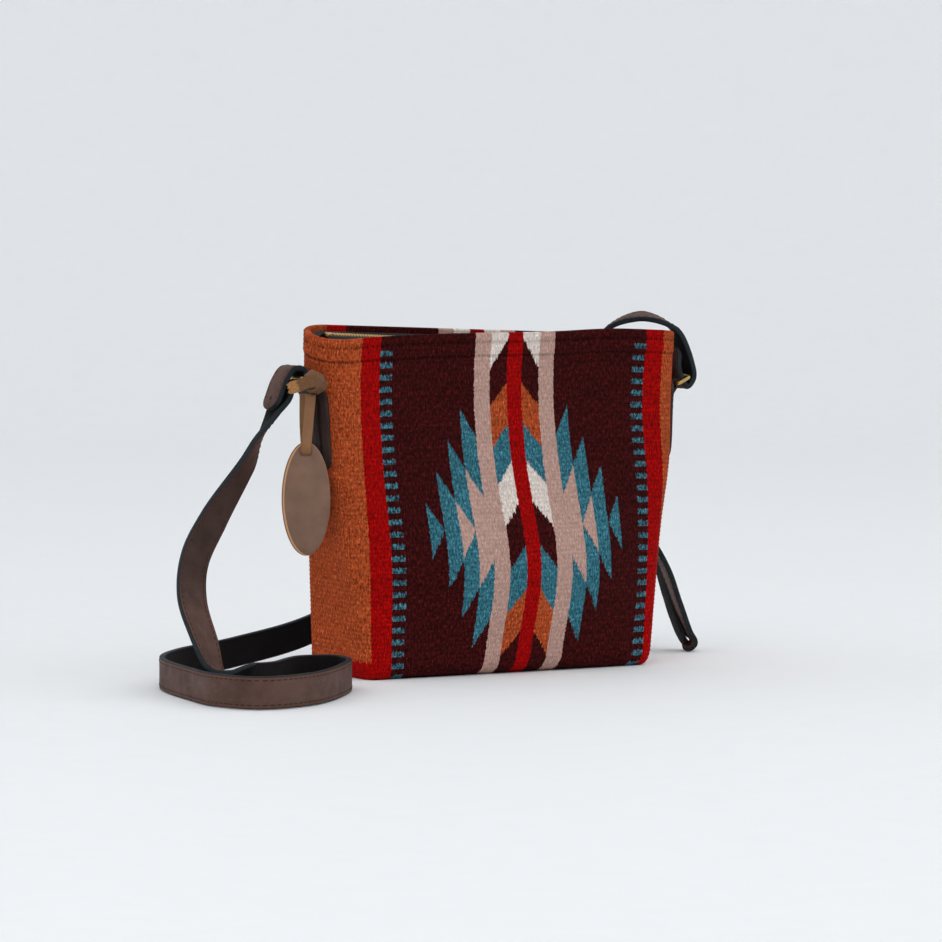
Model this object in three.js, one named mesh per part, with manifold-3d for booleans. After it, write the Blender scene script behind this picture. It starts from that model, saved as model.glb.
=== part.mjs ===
// A hand-woven crossbody bag: a boxed wool pouch with a lining and a closed zip, a leather tab with a
// metal ring on each side, a flat leather shoulder strap and an oval leather tag on a thong.
// Millimetres, +Z up, the front faces -Y, and the base stands on z = 0.
import * as THREE from 'three';
import { mergeVertices } from 'three/addons/utils/BufferGeometryUtils.js';
import Module from 'manifold-3d';

const wasm = await Module();
wasm.setup();

// Driving dimensions of the pouch
const HEIGHT = 213;
const BASE_WIDTH = 211;
const BASE_DEPTH = 76;
const BASE_CORNER = 7;
const MOUTH_WIDTH = 264;
const MOUTH_DEPTH = 43;
const BELLY = 21.4;
const BELLY_HEIGHT = 68;
const BELLY_REACH = 50;
const ROLL = 12;
const SIDE_ROLL = 0.5;
const SWAY = 5;
const TWIST = THREE.MathUtils.degToRad(3.6);
const LEAN = 2.4;
const BACK_PINCH = 8;
const BACK_LIFT = 4.6;
const FRONT_DIP = 1;
const BACK_SAG = 3.3;
const RIM_DRAW = 2;
const DRAW_START = 0.78;
const WALL = 4;
const HEM_DEPTH = 14;
const HEM_SWELL = 0.6;
const LINING = 1;
const LINING_DROP = 4;

// Driving dimensions of the zip
const ZIP_LENGTH = 240;
const ZIP_SINK = 7;
const TAPE_SINK = 7;
const ZIP_TILT = THREE.MathUtils.degToRad(8);
const ZIP_SLOPE = THREE.MathUtils.degToRad(3);
const TAPE = 0.8;
const TOOTH_PITCH = 4;
const TOOTH_REACH = 2.7;
const TOOTH_ROOT = 1.6;
const TOOTH_HEIGHT = 2.4;
const CHAIN_GAP = 1.1;
const STOP_LENGTH = 3;
const SLIDER_LENGTH = 9;
const SLIDER_WIDTH = 8.4;
const SLIDER_PLATE = 1.2;
const SLIDER_POST = 0.5;
const BRIDGE_WIDTH = 2;
const BRIDGE_BAR = 1.1;
const PULL_LENGTH = 24;
const PULL_WIDTH = 6.6;
const PULL_THICK = 1.2;
const PULL_ARM = 1.2;
const PULL_EYE_LENGTH = 6;

// Driving dimensions of the tabs, rings and strap
const RING_HEIGHT = 181;
const TAB_LENGTH = 78;
const TAB_WIDTH = 19;
const TAB_LEATHER = 1.6;
const RING_WIRE = 2.4;
const RING_REACH = 10;
const RING_CORNER = 3;
const RING_TILT = THREE.MathUtils.degToRad(34);
const RING_PLAY = 0.35;
const RING_ROOM = 1.9;
const STRAP_WIDTH = 19;
const STRAP_THICK = 3.3;
const STRAP_BEVEL = 0.8;
const TAIL_HOLE = 2.4;

// Driving dimensions of the thong and the tag
const KNOT_WIDTH = 15;
const KNOT_HEIGHT = 15;
const KNOT_DEPTH = 13;
const TIE_THICK = 1.2;
const TIE_LENGTH = 4;
const TIE_SWING = 1;
const THONG_WIDTH = 6.5;
const THONG_THICK = 2;
const TAG_WIDTH = 30;
const TAG_HEIGHT = 70;
const TAG_THICK = 3;
const TAG_FACING = THREE.MathUtils.degToRad(32.5);
const TAG_DROP = 72;
const TAG_SHIFT = 6;
const TAG_SETBACK = 5;
const TAG_SLOT_DEPTH = 4.5;
const TAG_SLOT_HEIGHT = 4.5;

// Clearances between pieces that touch
const GAP = 0.3;
const LOOSE_GAP = 0.7;

// Mesh fineness
const TUBE_SIDES = 8;
const STEPS_PER_POINT = 3;

// The strap's middle line from the left tail end to the right tail end, each point with the direction of
// one edge: around the left ring, down and round a loop on the floor, behind the bag, over and to the right ring.
const STRAP_ROUTE = [
  [-160.4, 5.5, 166.5, -0.06, -1, 0],
  [-157.5, 5.5, 173, -0.06, -1, 0],
  [-152.5, 5.5, 184.5, -0.06, -1, 0],
  [-145, 5.5, 191.8, -0.06, -1, 0],
  [-136.3, 5.5, 190.8, -0.06, -1, 0],
  [-135.5, 5.5, 185.6, -0.06, -1, 0],
  [-138.8, 5.5, 181.6, -0.06, -1, 0],
  [-147.6, 5.5, 180.5, -0.06, -1, 0],
  [-153.5, 5.5, 173.5, -0.06, -1, 0],
  [-157.5, 5, 162.5, -0.06, -1, 0],
  [-164, 3, 151.5, -0.2, -0.98, 0],
  [-177.5, -5.5, 135.5, -0.45, -0.89, 0],
  [-210.5, -20, 102, -0.85, -0.5, 0],
  [-232.5, -35.5, 79, -0.9, 0.2, 0],
  [-243.5, -52, 57, -0.84, 0.54, 0],
  [-248, -75, 35, -0.81, 0.46, -0.27],
  [-247, -95, 22, -0.88, -0.45, 0.2],
  [-239, -102.5, 14, -0.35, -0.55, 0.75],
  [-222, -91, 10.5, -0.05, -0.1, 0.99],
  [-204, -78, 10, 0, 0, 1],
  [-165, -47, 10, 0, 0, 1],
  [-147, -53, 10, 0, 0, 1],
  [-148, -72, 10, 0, 0, 1],
  [-158, -90, 10, 0, 0, 1],
  [-213, -139, 10, 0, 0, 1],
  [-262, -155, 10, 0, 0, 1],
  [-271, -129, 10, 0, 0, 1],
  [-263, -85, 10, 0, 0, 1],
  [-242, -12, 10, 0, 0, 1],
  [-205, 35, 10, 0, 0, 1],
  [-142, 73, 12, 0, 0, 1],
  [-74, 95, 22, 0, -0.1, 0.99],
  [0, 112, 50, -0.2, -0.3, 0.93],
  [90, 108, 95, -0.4, -0.7, 0.6],
  [150, 85, 90, -0.5, -0.86, 0],
  [172.5, 64.5, 59.5, -0.4, -0.92, 0],
  [177.8, 58.8, 36.5, -0.4, -0.92, 0],
  [178, 51.3, 23.3, -0.4, -0.92, 0],
  [179, 44.8, 11.8, -0.4, -0.92, 0],
  [180.5, 41, 6.2, -0.4, -0.92, 0],
  [182, 38, 4.8, -0.4, -0.92, 0],
  [182.5, 36, 7.4, -0.4, -0.92, 0],
  [179, 36.5, 14, -0.4, -0.92, 0],
  [169, 34.5, 34.5, -0.4, -0.92, 0],
  [158, 35.5, 60.5, -0.4, -0.92, 0],
  [132, 42, 105, -0.5, -0.86, 0],
  [117, 50, 160, -0.54, -0.84, 0],
  [109, 32.5, 209.5, -0.54, -0.84, -0.05],
  [120.6, 7.5, 221.5, -0.52, -0.82, -0.22],
  [136.5, -6.5, 214, -0.42, -0.88, -0.25],
  [140.2, -10, 202.5, -0.1, -0.99, -0.05],
  [143.6, -10.5, 191, -0.06, -1, 0],
  [144.6, -10.5, 182, -0.06, -1, 0],
  [139.8, -10.5, 177.2, -0.06, -1, 0],
  [135.6, -10.3, 182.6, -0.06, -1, 0],
  [133.3, -10.2, 190.5, -0.06, -1, 0],
  [134, -10.2, 197.5, -0.06, -1, 0],
  [134.2, -10.2, 202.5, -0.06, -1, 0],
];
// Points of the route, one in each tail, where the leather is punched
const TAIL_POINTS = [1, STRAP_ROUTE.length - 2];

// Finishes
const wool = new THREE.MeshStandardMaterial({ color: 0x5a1a1c, roughness: 0.95, metalness: 0 });
const cotton = new THREE.MeshStandardMaterial({ color: 0x1c1a1a, roughness: 0.9, metalness: 0 });
const tapeCloth = new THREE.MeshStandardMaterial({ color: 0x141414, roughness: 0.85, metalness: 0 });
const brass = new THREE.MeshStandardMaterial({ color: 0xc9a25a, roughness: 0.35, metalness: 1 });
const darkLeather = new THREE.MeshStandardMaterial({ color: 0x4a3a34, roughness: 0.6, metalness: 0 });
const tanLeather = new THREE.MeshStandardMaterial({ color: 0xa07850, roughness: 0.7, metalness: 0 });
const taupeLeather = new THREE.MeshStandardMaterial({ color: 0x87705f, roughness: 0.65, metalness: 0 });

const group = new THREE.Group();

function addMesh(parent, name, geometry, material) {
  const mesh = new THREE.Mesh(geometry, material);
  mesh.name = name;
  parent.add(mesh);
  return mesh;
}

function mix(low, high, share) {
  return low + (high - low) * share;
}

// Closed surface from its points and triangles, turned so that its faces point outwards
function surface(points, triangles) {
  let volume = 0;
  const edge = new THREE.Vector3();
  for (const [a, b, c] of triangles) {
    volume += edge.crossVectors(points[a], points[b]).dot(points[c]);
  }
  const order = volume < 0 ? triangles.map(([a, b, c]) => [a, c, b]) : triangles;
  const geometry = new THREE.BufferGeometry();
  geometry.setAttribute('position', new THREE.Float32BufferAttribute(points.flatMap((p) => p.toArray()), 3));
  geometry.setIndex(order.flat());
  return geometry;
}

// Skin over rings of points, closed by a fan at each end, or joined end to end where it is a loop. Its diagonals
// lean the same way where the rings rise and where they fall, so that two faces of a wall stay parallel.
function skin(rings, looped = false) {
  const points = rings.flat();
  const count = rings[0].length;
  const triangles = [];
  const bands = looped ? rings.length : rings.length - 1;
  for (let i = 0; i < bands; i += 1) {
    const next = (i + 1) % rings.length;
    const falls = rings[next][0].z < rings[i][0].z;
    for (let j = 0; j < count; j += 1) {
      const k = (j + 1) % count;
      const corners = [i * count + j, i * count + k, next * count + k, next * count + j];
      const [a, b, c, d] = falls ? [corners[1], corners[2], corners[3], corners[0]] : corners;
      triangles.push([a, b, c], [a, c, d]);
    }
  }
  if (!looped) {
    const ends = [rings[0], rings[rings.length - 1]];
    ends.forEach((ring, end) => {
      const middle = ring.reduce((sum, p) => sum.add(p), new THREE.Vector3()).divideScalar(count);
      const hub = points.push(middle) - 1;
      const first = end === 0 ? 0 : (rings.length - 1) * count;
      for (let j = 0; j < count; j += 1) {
        const k = (j + 1) % count;
        triangles.push(end === 0 ? [hub, first + k, first + j] : [hub, first + j, first + k]);
      }
    });
  }
  return surface(points, triangles);
}

function toSolid(geometry) {
  const bare = geometry.clone();
  bare.deleteAttribute('normal');
  bare.deleteAttribute('uv');
  const merged = mergeVertices(bare);
  return new wasm.Manifold(new wasm.Mesh({
    numProp: 3,
    vertProperties: new Float32Array(merged.attributes.position.array),
    triVerts: new Uint32Array(merged.index.array),
  }));
}

function toGeometry(solid) {
  const mesh = solid.getMesh();
  const geometry = new THREE.BufferGeometry();
  geometry.setAttribute('position', new THREE.Float32BufferAttribute(mesh.vertProperties, 3));
  geometry.setIndex(Array.from(mesh.triVerts));
  return geometry;
}

function box(lowX, highX, lowY, highY, lowZ, highZ) {
  const geometry = new THREE.BoxGeometry(highX - lowX, highY - lowY, highZ - lowZ);
  return geometry.translate((lowX + highX) / 2, (lowY + highY) / 2, (lowZ + highZ) / 2);
}

// Pouch wall

// Sizes of the rounded outline at a height, drawn in from the outer face by an inset
function outlineAt(z, inset) {
  const t = z / HEIGHT;
  const draw = RIM_DRAW * (Math.max(t - DRAW_START, 0) / (1 - DRAW_START)) ** 2;
  const halfWidth = mix(BASE_WIDTH, MOUTH_WIDTH, t) / 2 - draw - inset;
  const halfDepth = mix(BASE_DEPTH, MOUTH_DEPTH, t) / 2 - inset;
  const corner = Math.min(mix(BASE_CORNER, MOUTH_DEPTH / 2, t) - inset, halfDepth - GAP);
  return { halfWidth, halfDepth, corner, flatX: halfWidth - corner, flatY: halfDepth - corner };
}

// Stages of the way round, from the left seam across the front to the right seam: half the side, a corner,
// the front, a corner and half the side. The back repeats them, half a turn on.
const FRONT_STAGE = 2;
const HALF_ROUND = 5;
const STAGE_STEPS = [2, 5, 22, 5, 2];
const STAGES = [];
for (const half of [0, HALF_ROUND]) {
  STAGE_STEPS.forEach((steps, stage) => {
    for (let i = 0; i < steps; i += 1) {
      STAGES.push(half + stage + i / steps);
    }
  });
}

// Point on the outline at a stage of the way round
function outlinePoint(o, stage) {
  const sign = stage < HALF_ROUND ? 1 : -1;
  const along = stage % HALF_ROUND;
  const step = Math.floor(along);
  const part = along - step;
  const angle = (part * Math.PI) / 2;
  const places = [
    [-o.halfWidth, -o.flatY * part],
    [-o.flatX - o.corner * Math.cos(angle), -o.flatY - o.corner * Math.sin(angle)],
    [mix(-o.flatX, o.flatX, part), -o.halfDepth],
    [o.flatX + o.corner * Math.sin(angle), -o.flatY - o.corner * Math.cos(angle)],
    [o.halfWidth, -o.flatY * (1 - part)],
  ];
  return places[step].map((value) => sign * value);
}

// Direction in which the base rolls under, the same through the thickness of the wall
function tuckNormal(stage, z) {
  const o = outlineAt(Math.max(z, 0), 0);
  const [x, y] = outlinePoint(o, stage);
  return new THREE.Vector2(x / o.halfWidth ** 2, y / o.halfDepth ** 2).normalize();
}

// Point of the wall: the outline swells into a belly, rolls under at the base and turns towards the mouth
function wallPoint(stage, z, inset = 0) {
  const t = z / HEIGHT;
  const o = outlineAt(z, inset);
  let [x, y] = outlinePoint(o, stage);
  const left = (1 - x / o.halfWidth) / 2;
  const back = (1 + y / o.halfDepth) / 2;
  const lift = left * mix(-FRONT_DIP, BACK_LIFT, back) - (1 - left) * back * BACK_SAG;
  const across = Math.max(0, 1 - (x / o.halfWidth) ** 2);
  const face = y / o.halfDepth;
  const belly = BELLY * Math.exp(-(((z - BELLY_HEIGHT) / BELLY_REACH) ** 2));
  const pinch = y > 0 ? BACK_PINCH * t ** 3 : 0;
  y += face * across * (belly - pinch);
  const below = Math.max(ROLL + inset - z, 0);
  const tuck = (ROLL - Math.sqrt(Math.max(ROLL ** 2 - below ** 2, 0))) * mix(SIDE_ROLL, 1, across);
  const normal = tuckNormal(stage, z - inset);
  x -= normal.x * tuck;
  y -= normal.y * tuck;
  const place = new THREE.Vector3(x, y, z + t * lift).applyAxisAngle(new THREE.Vector3(0, 0, 1), -TWIST * t);
  place.x += (SWAY * (z - RING_HEIGHT)) / HEIGHT;
  place.y -= (LEAN * (z - BELLY_HEIGHT)) / (HEIGHT - BELLY_HEIGHT);
  return place;
}

function wallRing(z, inset) {
  return STAGES.map((stage) => wallPoint(stage, z, inset));
}

// Heights of the rings as shares of the roll and of the whole
const ROLL_SHARES = [0, 0.08, 0.22, 0.42, 0.7, 1];
const WALL_SHARES = [0.12, 0.19, 0.27, 0.38, 0.5, 0.64, 0.78];

// Open pouch between two insets: up its outer face, over the rings of its rim and down to its inner floor
function pouch(outer, inner, rim) {
  const heights = [...ROLL_SHARES.map((share) => share * ROLL), ...WALL_SHARES.map((share) => share * HEIGHT)];
  const rise = heights.map((z) => wallRing(outer + z, outer));
  const fall = heights.map((z) => wallRing(inner + z, inner)).reverse();
  return skin([...rise, ...rim.map(([z, inset]) => wallRing(z, inset)), ...fall]);
}

const HEM_FOOT = HEIGHT - HEM_DEPTH;
const bodyRim = [
  [HEM_FOOT - HEM_SWELL, 0],
  [HEM_FOOT, -HEM_SWELL],
  [HEIGHT - HEM_SWELL, -HEM_SWELL],
  [HEIGHT, HEM_SWELL],
  [HEIGHT, WALL - HEM_SWELL],
  [HEIGHT - HEM_SWELL, WALL],
  [HEM_FOOT, WALL],
];
addMesh(group, 'woven_body', pouch(0, WALL, bodyRim), wool);

const LINING_OUTER = WALL + GAP;
const LINING_INNER = LINING_OUTER + LINING;
const LINING_TOP = HEIGHT - LINING_DROP;
const liningRim = [
  [HEM_FOOT, LINING_OUTER],
  [LINING_TOP, LINING_OUTER],
  [LINING_TOP, LINING_INNER],
  [HEM_FOOT, LINING_INNER],
];
addMesh(group, 'lining', pouch(LINING_OUTER, LINING_INNER, liningRim), cotton);

// Zip

// Stage of the way round at which the front or the back of the wall stands at a given x
function stageAt(x, z, inset, onFront) {
  const { flatX, corner } = outlineAt(z, inset);
  const along = onFront ? x : -x;
  const past = Math.asin(Math.max(Math.abs(along) - flatX, 0) / corner) / (Math.PI / 2);
  const part = THREE.MathUtils.clamp((1 + along / flatX) / 2, 0, 1) + Math.sign(along) * past;
  return FRONT_STAGE + part + (onFront ? 0 : HALF_ROUND);
}

const FRONT_MIDDLE = FRONT_STAGE + 0.5;
const rimFront = wallPoint(FRONT_MIDDLE, HEIGHT, LINING_INNER);
const rimBack = wallPoint(FRONT_MIDDLE + HALF_ROUND, HEIGHT, LINING_INNER);
const zip = new THREE.Group();
zip.rotation.set(ZIP_TILT, ZIP_SLOPE, -TWIST, 'ZYX');
zip.position.set((rimFront.x + rimBack.x) / 2, (rimFront.y + rimBack.y) / 2, HEIGHT - ZIP_SINK);
group.add(zip);
zip.updateMatrixWorld(true);
const intoZip = zip.matrixWorld.clone().invert();

const CHAIN_EDGE = CHAIN_GAP / 2 + TOOTH_REACH;
const TAPE_STATIONS = 26;

// Tape strip from the chain to the wall just under the rim
function zipTape(onFront) {
  const side = onFront ? -1 : 1;
  const inset = LINING_INNER + GAP;
  const rings = [];
  for (let i = 0; i <= TAPE_STATIONS; i += 1) {
    const x = mix(-ZIP_LENGTH / 2, ZIP_LENGTH / 2, i / TAPE_STATIONS);
    const z = HEIGHT - TAPE_SINK - Math.max(x, 0) * Math.sin(ZIP_SLOPE);
    const wall = wallPoint(stageAt(x, z, inset, onFront), z, inset).applyMatrix4(intoZip);
    const chain = new THREE.Vector3(wall.x, side * (CHAIN_EDGE + GAP), 0);
    rings.push([[chain, 1], [wall, 1], [wall, -1], [chain, -1]].map(
      ([p, up]) => new THREE.Vector3(p.x, p.y, p.z + (up * TAPE) / 2),
    ));
  }
  return skin(rings);
}

// Row of teeth: a bar whose inner edge steps in and out
function zipTeeth(onFront) {
  const side = onFront ? -1 : 1;
  const count = Math.floor(ZIP_LENGTH / TOOTH_PITCH) - 2;
  const start = (-count * TOOTH_PITCH) / 2;
  const rings = [];
  for (let i = 0; i < count; i += 1) {
    const middle = start + (i + 0.5) * TOOTH_PITCH;
    for (const [offset, reach] of [[-0.5, 0], [-0.3, 0], [-0.25, 1], [0.25, 1], [0.3, 0]]) {
      const inner = CHAIN_GAP / 2 + (1 - reach) * (TOOTH_REACH - TOOTH_ROOT);
      const x = middle + offset * TOOTH_PITCH;
      const half = TOOTH_HEIGHT / 2;
      rings.push([[inner, half], [CHAIN_EDGE, half], [CHAIN_EDGE, -half], [inner, -half]].map(
        ([y, up]) => new THREE.Vector3(x, side * y, up),
      ));
    }
  }
  return { geometry: skin(rings), end: -start };
}

const teethFront = zipTeeth(true);
const teethBack = zipTeeth(false);
addMesh(zip, 'zip_tape_front', zipTape(true), tapeCloth);
addMesh(zip, 'zip_tape_back', zipTape(false), tapeCloth);
addMesh(zip, 'zip_teeth_front', teethFront.geometry, brass);
addMesh(zip, 'zip_teeth_back', teethBack.geometry, brass);

const STOP_FACE = teethFront.end + GAP;
const STOP_HALF = TOOTH_HEIGHT / 2;
for (const [name, side] of [['zip_stop_left', -1], ['zip_stop_right', 1]]) {
  const far = side * (STOP_FACE + STOP_LENGTH);
  const near = side * STOP_FACE;
  const block = box(Math.min(near, far), Math.max(near, far), -CHAIN_EDGE, CHAIN_EDGE, -STOP_HALF, STOP_HALF);
  addMesh(zip, name, block, brass);
}

// Slider: two plates joined by a post that passes between the rows of teeth, with a bridge for the pull
const SLIDER_X = STOP_FACE - SLIDER_LENGTH / 2 - LOOSE_GAP;
const PLATE_FOOT = TOOTH_HEIGHT / 2 + GAP;
const PLATE_TOP = PLATE_FOOT + SLIDER_PLATE;
const PULL_FOOT = PLATE_TOP + GAP;
const BRIDGE_FOOT = PULL_FOOT + PULL_THICK * Math.SQRT2;
const BRIDGE_TOP = BRIDGE_FOOT + BRIDGE_BAR;
const BRIDGE_HALF = BRIDGE_WIDTH / 2;
const PULL_EYE_HALF = BRIDGE_HALF + LOOSE_GAP;

function zipSlider() {
  const halfLength = SLIDER_LENGTH / 2;
  const halfWidth = SLIDER_WIDTH / 2;
  const legInner = PULL_THICK / Math.SQRT2 + LOOSE_GAP;
  const legOuter = legInner + BRIDGE_BAR;
  const lap = SLIDER_PLATE / 2;
  const postHalf = SLIDER_POST / 2;
  const pieces = [
    box(-halfLength, halfLength, -halfWidth, halfWidth, PLATE_FOOT, PLATE_TOP),
    box(-halfLength, halfLength, -halfWidth, halfWidth, -PLATE_TOP, -PLATE_FOOT),
    box(legInner, halfLength - lap, -postHalf, postHalf, -PLATE_FOOT - lap, PLATE_FOOT + lap),
    box(-legOuter, -legInner, -BRIDGE_HALF, BRIDGE_HALF, PLATE_TOP - lap, BRIDGE_TOP),
    box(legInner, legOuter, -BRIDGE_HALF, BRIDGE_HALF, PLATE_TOP - lap, BRIDGE_TOP),
    box(-legOuter, legOuter, -BRIDGE_HALF, BRIDGE_HALF, BRIDGE_FOOT, BRIDGE_TOP),
  ];
  const whole = pieces.map(toSolid).reduce((sum, piece) => sum.add(piece));
  return toGeometry(whole).translate(SLIDER_X, 0, 0);
}
addMesh(zip, 'zip_slider', zipSlider(), brass);

// Pull: a tongue with an eye round the bridge, lying back along the chain
function zipPull() {
  const half = PULL_WIDTH / 2;
  const bar = PULL_THICK / 2;
  const tip = -PULL_LENGTH;
  const tongue = new THREE.Shape();
  tongue.moveTo(bar, -half);
  tongue.lineTo(bar, half);
  tongue.lineTo(tip + half, half);
  tongue.absarc(tip + half, 0, half, Math.PI / 2, (3 * Math.PI) / 2, false);
  tongue.closePath();
  const eye = new THREE.Path();
  const eyeHalf = Math.max(PULL_EYE_HALF, half - PULL_ARM);
  eye.moveTo(-bar, -eyeHalf);
  eye.lineTo(-bar - PULL_EYE_LENGTH, -eyeHalf);
  eye.lineTo(-bar - PULL_EYE_LENGTH, eyeHalf);
  eye.lineTo(-bar, eyeHalf);
  eye.closePath();
  tongue.holes.push(eye);
  const geometry = new THREE.ExtrudeGeometry(tongue, { depth: PULL_THICK, bevelEnabled: false, curveSegments: 10 });
  return geometry.translate(SLIDER_X, 0, PULL_FOOT);
}
addMesh(zip, 'zip_pull', zipPull(), brass);

// Side tabs and rings

const EYE_BORE = RING_WIRE / 2 + RING_PLAY;
const EYE_OUTER = EYE_BORE + TAB_LEATHER;
const EYE_STAND = GAP + EYE_OUTER;
const TAB_FACE = GAP + 2 * TAB_LEATHER;

// Frame at a side seam with its origin on the wall: x out of the wall, y up the wall, z along the seam's width
function seamFrame(stage) {
  const foot = wallPoint(stage, RING_HEIGHT - TAB_LENGTH);
  const head = wallPoint(stage, RING_HEIGHT);
  const up = head.clone().sub(foot).normalize();
  const out = new THREE.Vector3(stage === 0 ? -1 : 1, 0, 0);
  out.applyAxisAngle(new THREE.Vector3(0, 0, 1), (-TWIST * RING_HEIGHT) / HEIGHT);
  out.addScaledVector(up, -out.dot(up)).normalize();
  const width = new THREE.Vector3().crossVectors(out, up);
  return new THREE.Matrix4().makeBasis(out, up, width).setPosition(head);
}

// Folded strip whose top loops round the ring, cut as a profile and drawn across its width
function sideTab() {
  const neck = EYE_OUTER * Math.SQRT1_2;
  const profile = new THREE.Shape();
  profile.moveTo(GAP, -TAB_LENGTH);
  profile.lineTo(TAB_FACE, -TAB_LENGTH);
  profile.lineTo(TAB_FACE, -2 * EYE_OUTER);
  profile.lineTo(EYE_STAND + neck, -neck);
  profile.absarc(EYE_STAND, 0, EYE_OUTER, -Math.PI / 4, Math.PI, false);
  profile.closePath();
  const eye = new THREE.Path();
  eye.absarc(EYE_STAND, 0, EYE_BORE, 0, 2 * Math.PI, true);
  profile.holes.push(eye);
  const geometry = new THREE.ExtrudeGeometry(profile, { depth: TAB_WIDTH, bevelEnabled: false, curveSegments: 10 });
  return geometry.translate(0, 0, -TAB_WIDTH / 2);
}

const RING_HALF = STRAP_WIDTH / 2 + RING_ROOM + RING_WIRE / 2;

// Closed wire along a rounded rectangle, from the tab's eye out to the strap's fold
function ringLoop() {
  const corner = RING_CORNER;
  const path = [];
  const centres = [
    [corner, RING_HALF - corner, Math.PI / 2],
    [corner, corner - RING_HALF, Math.PI],
    [RING_REACH - corner, corner - RING_HALF, (3 * Math.PI) / 2],
    [RING_REACH - corner, RING_HALF - corner, 0],
  ];
  for (const [reach, across, from] of centres) {
    for (let i = 0; i <= 4; i += 1) {
      const angle = from + (i / 4) * (Math.PI / 2);
      path.push(new THREE.Vector3(reach + corner * Math.cos(angle), 0, across + corner * Math.sin(angle)));
    }
  }
  const rings = path.map((p, i) => {
    const before = path[(i + path.length - 1) % path.length];
    const after = path[(i + 1) % path.length];
    const along = after.clone().sub(before).normalize();
    const up = new THREE.Vector3(0, 1, 0);
    const side = new THREE.Vector3().crossVectors(along, up);
    return Array.from({ length: TUBE_SIDES }, (_, j) => {
      const angle = (2 * Math.PI * j) / TUBE_SIDES;
      const radius = RING_WIRE / 2;
      return p.clone().addScaledVector(side, radius * Math.cos(angle)).addScaledVector(up, radius * Math.sin(angle));
    });
  });
  return skin(rings, true);
}

function sideHardware(name, stage) {
  const side = new THREE.Group();
  side.applyMatrix4(seamFrame(stage));
  group.add(side);
  addMesh(side, `side_tab_${name}`, sideTab(), darkLeather);
  const ring = addMesh(side, `strap_ring_${name}`, ringLoop(), brass);
  ring.position.x = EYE_STAND;
  ring.rotation.z = RING_TILT;
  side.updateMatrixWorld(true);
  return ring;
}
const leftRing = sideHardware('left', 0);
sideHardware('right', HALF_ROUND);

// Shoulder strap

const routePoints = STRAP_ROUTE.map(([x, y, z]) => new THREE.Vector3(x, y, z));
const routeEdges = STRAP_ROUTE.map(([, , , x, y, z]) => new THREE.Vector3(x, y, z));

// Flat band with bevelled corners along a line of points, each with the direction of one edge
function band(points, edges, steps, width, thick, bevel) {
  const line = new THREE.CatmullRomCurve3(points);
  const lean = new THREE.CatmullRomCurve3(edges);
  const w = width / 2;
  const t = thick / 2;
  const section = [
    [w - bevel, t], [w, t - bevel], [w, bevel - t], [w - bevel, -t],
    [bevel - w, -t], [-w, bevel - t], [-w, t - bevel], [bevel - w, t],
  ];
  const rings = [];
  for (let i = 0; i <= steps; i += 1) {
    const along = line.getTangent(i / steps);
    const edge = lean.getPoint(i / steps);
    edge.addScaledVector(along, -edge.dot(along)).normalize();
    const face = new THREE.Vector3().crossVectors(along, edge);
    const middle = line.getPoint(i / steps);
    rings.push(section.map(([a, b]) => middle.clone().addScaledVector(edge, a).addScaledVector(face, b)));
  }
  return skin(rings);
}

// Small bore through one layer of the strap at a point of its route
function tailBore(index) {
  const along = new THREE.CatmullRomCurve3(routePoints).getTangent(index / (routePoints.length - 1));
  const face = new THREE.Vector3().crossVectors(along, routeEdges[index]).normalize();
  const turn = new THREE.Quaternion().setFromUnitVectors(new THREE.Vector3(0, 1, 0), face);
  const bore = new THREE.CylinderGeometry(TAIL_HOLE / 2, TAIL_HOLE / 2, STRAP_THICK + GAP, 10);
  return toSolid(bore.applyQuaternion(turn).translate(...routePoints[index].toArray()));
}

const strapSteps = STEPS_PER_POINT * (STRAP_ROUTE.length - 1);
const sewnStrap = toSolid(band(routePoints, routeEdges, strapSteps, STRAP_WIDTH, STRAP_THICK, STRAP_BEVEL));
const strap = TAIL_POINTS.reduce((solid, index) => solid.subtract(tailBore(index)), sewnStrap);
addMesh(group, 'shoulder_strap', toGeometry(strap), darkLeather);

// Thong and tag

// The knot is a lump of thong with a tie that passes round the front leg of the left ring with room to swing
const TIE_HALF = RING_WIRE / 2 + RING_PLAY + TIE_THICK;
const KNOT_OFFSET = RING_HALF + TIE_HALF + KNOT_DEPTH / 2 - TIE_THICK / 2;

function thongKnot() {
  const lump = new THREE.SphereGeometry(0.5, 16, 12).scale(KNOT_WIDTH, KNOT_HEIGHT, KNOT_DEPTH);
  lump.translate(RING_REACH / 2, 0, -KNOT_OFFSET);
  const tieRise = TIE_HALF + TIE_SWING;
  const foot = (RING_REACH - TIE_LENGTH) / 2;
  const tie = box(foot, foot + TIE_LENGTH, -tieRise, tieRise, -TIE_HALF, TIE_HALF).translate(0, 0, -RING_HALF);
  const clearRise = tieRise - TIE_THICK;
  const clearHalf = TIE_HALF - TIE_THICK;
  const clear = box(-TIE_LENGTH, RING_REACH + TIE_LENGTH, -clearRise, clearRise, -clearHalf, clearHalf);
  clear.translate(0, 0, -RING_HALF);
  return toGeometry(toSolid(lump).add(toSolid(tie)).subtract(toSolid(clear)));
}
const knot = addMesh(leftRing.parent, 'thong_knot', thongKnot(), tanLeather);
knot.position.copy(leftRing.position);
knot.rotation.copy(leftRing.rotation);
knot.updateMatrixWorld(true);
const knotMiddle = new THREE.Vector3(RING_REACH / 2, 0, -KNOT_OFFSET).applyMatrix4(knot.matrixWorld);

// The tag faces out to the front left and hangs clear of the wall
const tagRight = new THREE.Vector3(Math.cos(TAG_FACING), -Math.sin(TAG_FACING), 0);
const tagFront = new THREE.Vector3(-Math.sin(TAG_FACING), -Math.cos(TAG_FACING), 0);
const tagMiddle = knotMiddle.clone().addScaledVector(tagFront, -TAG_SETBACK).addScaledVector(tagRight, -TAG_SHIFT);
tagMiddle.z -= TAG_DROP;

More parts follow.
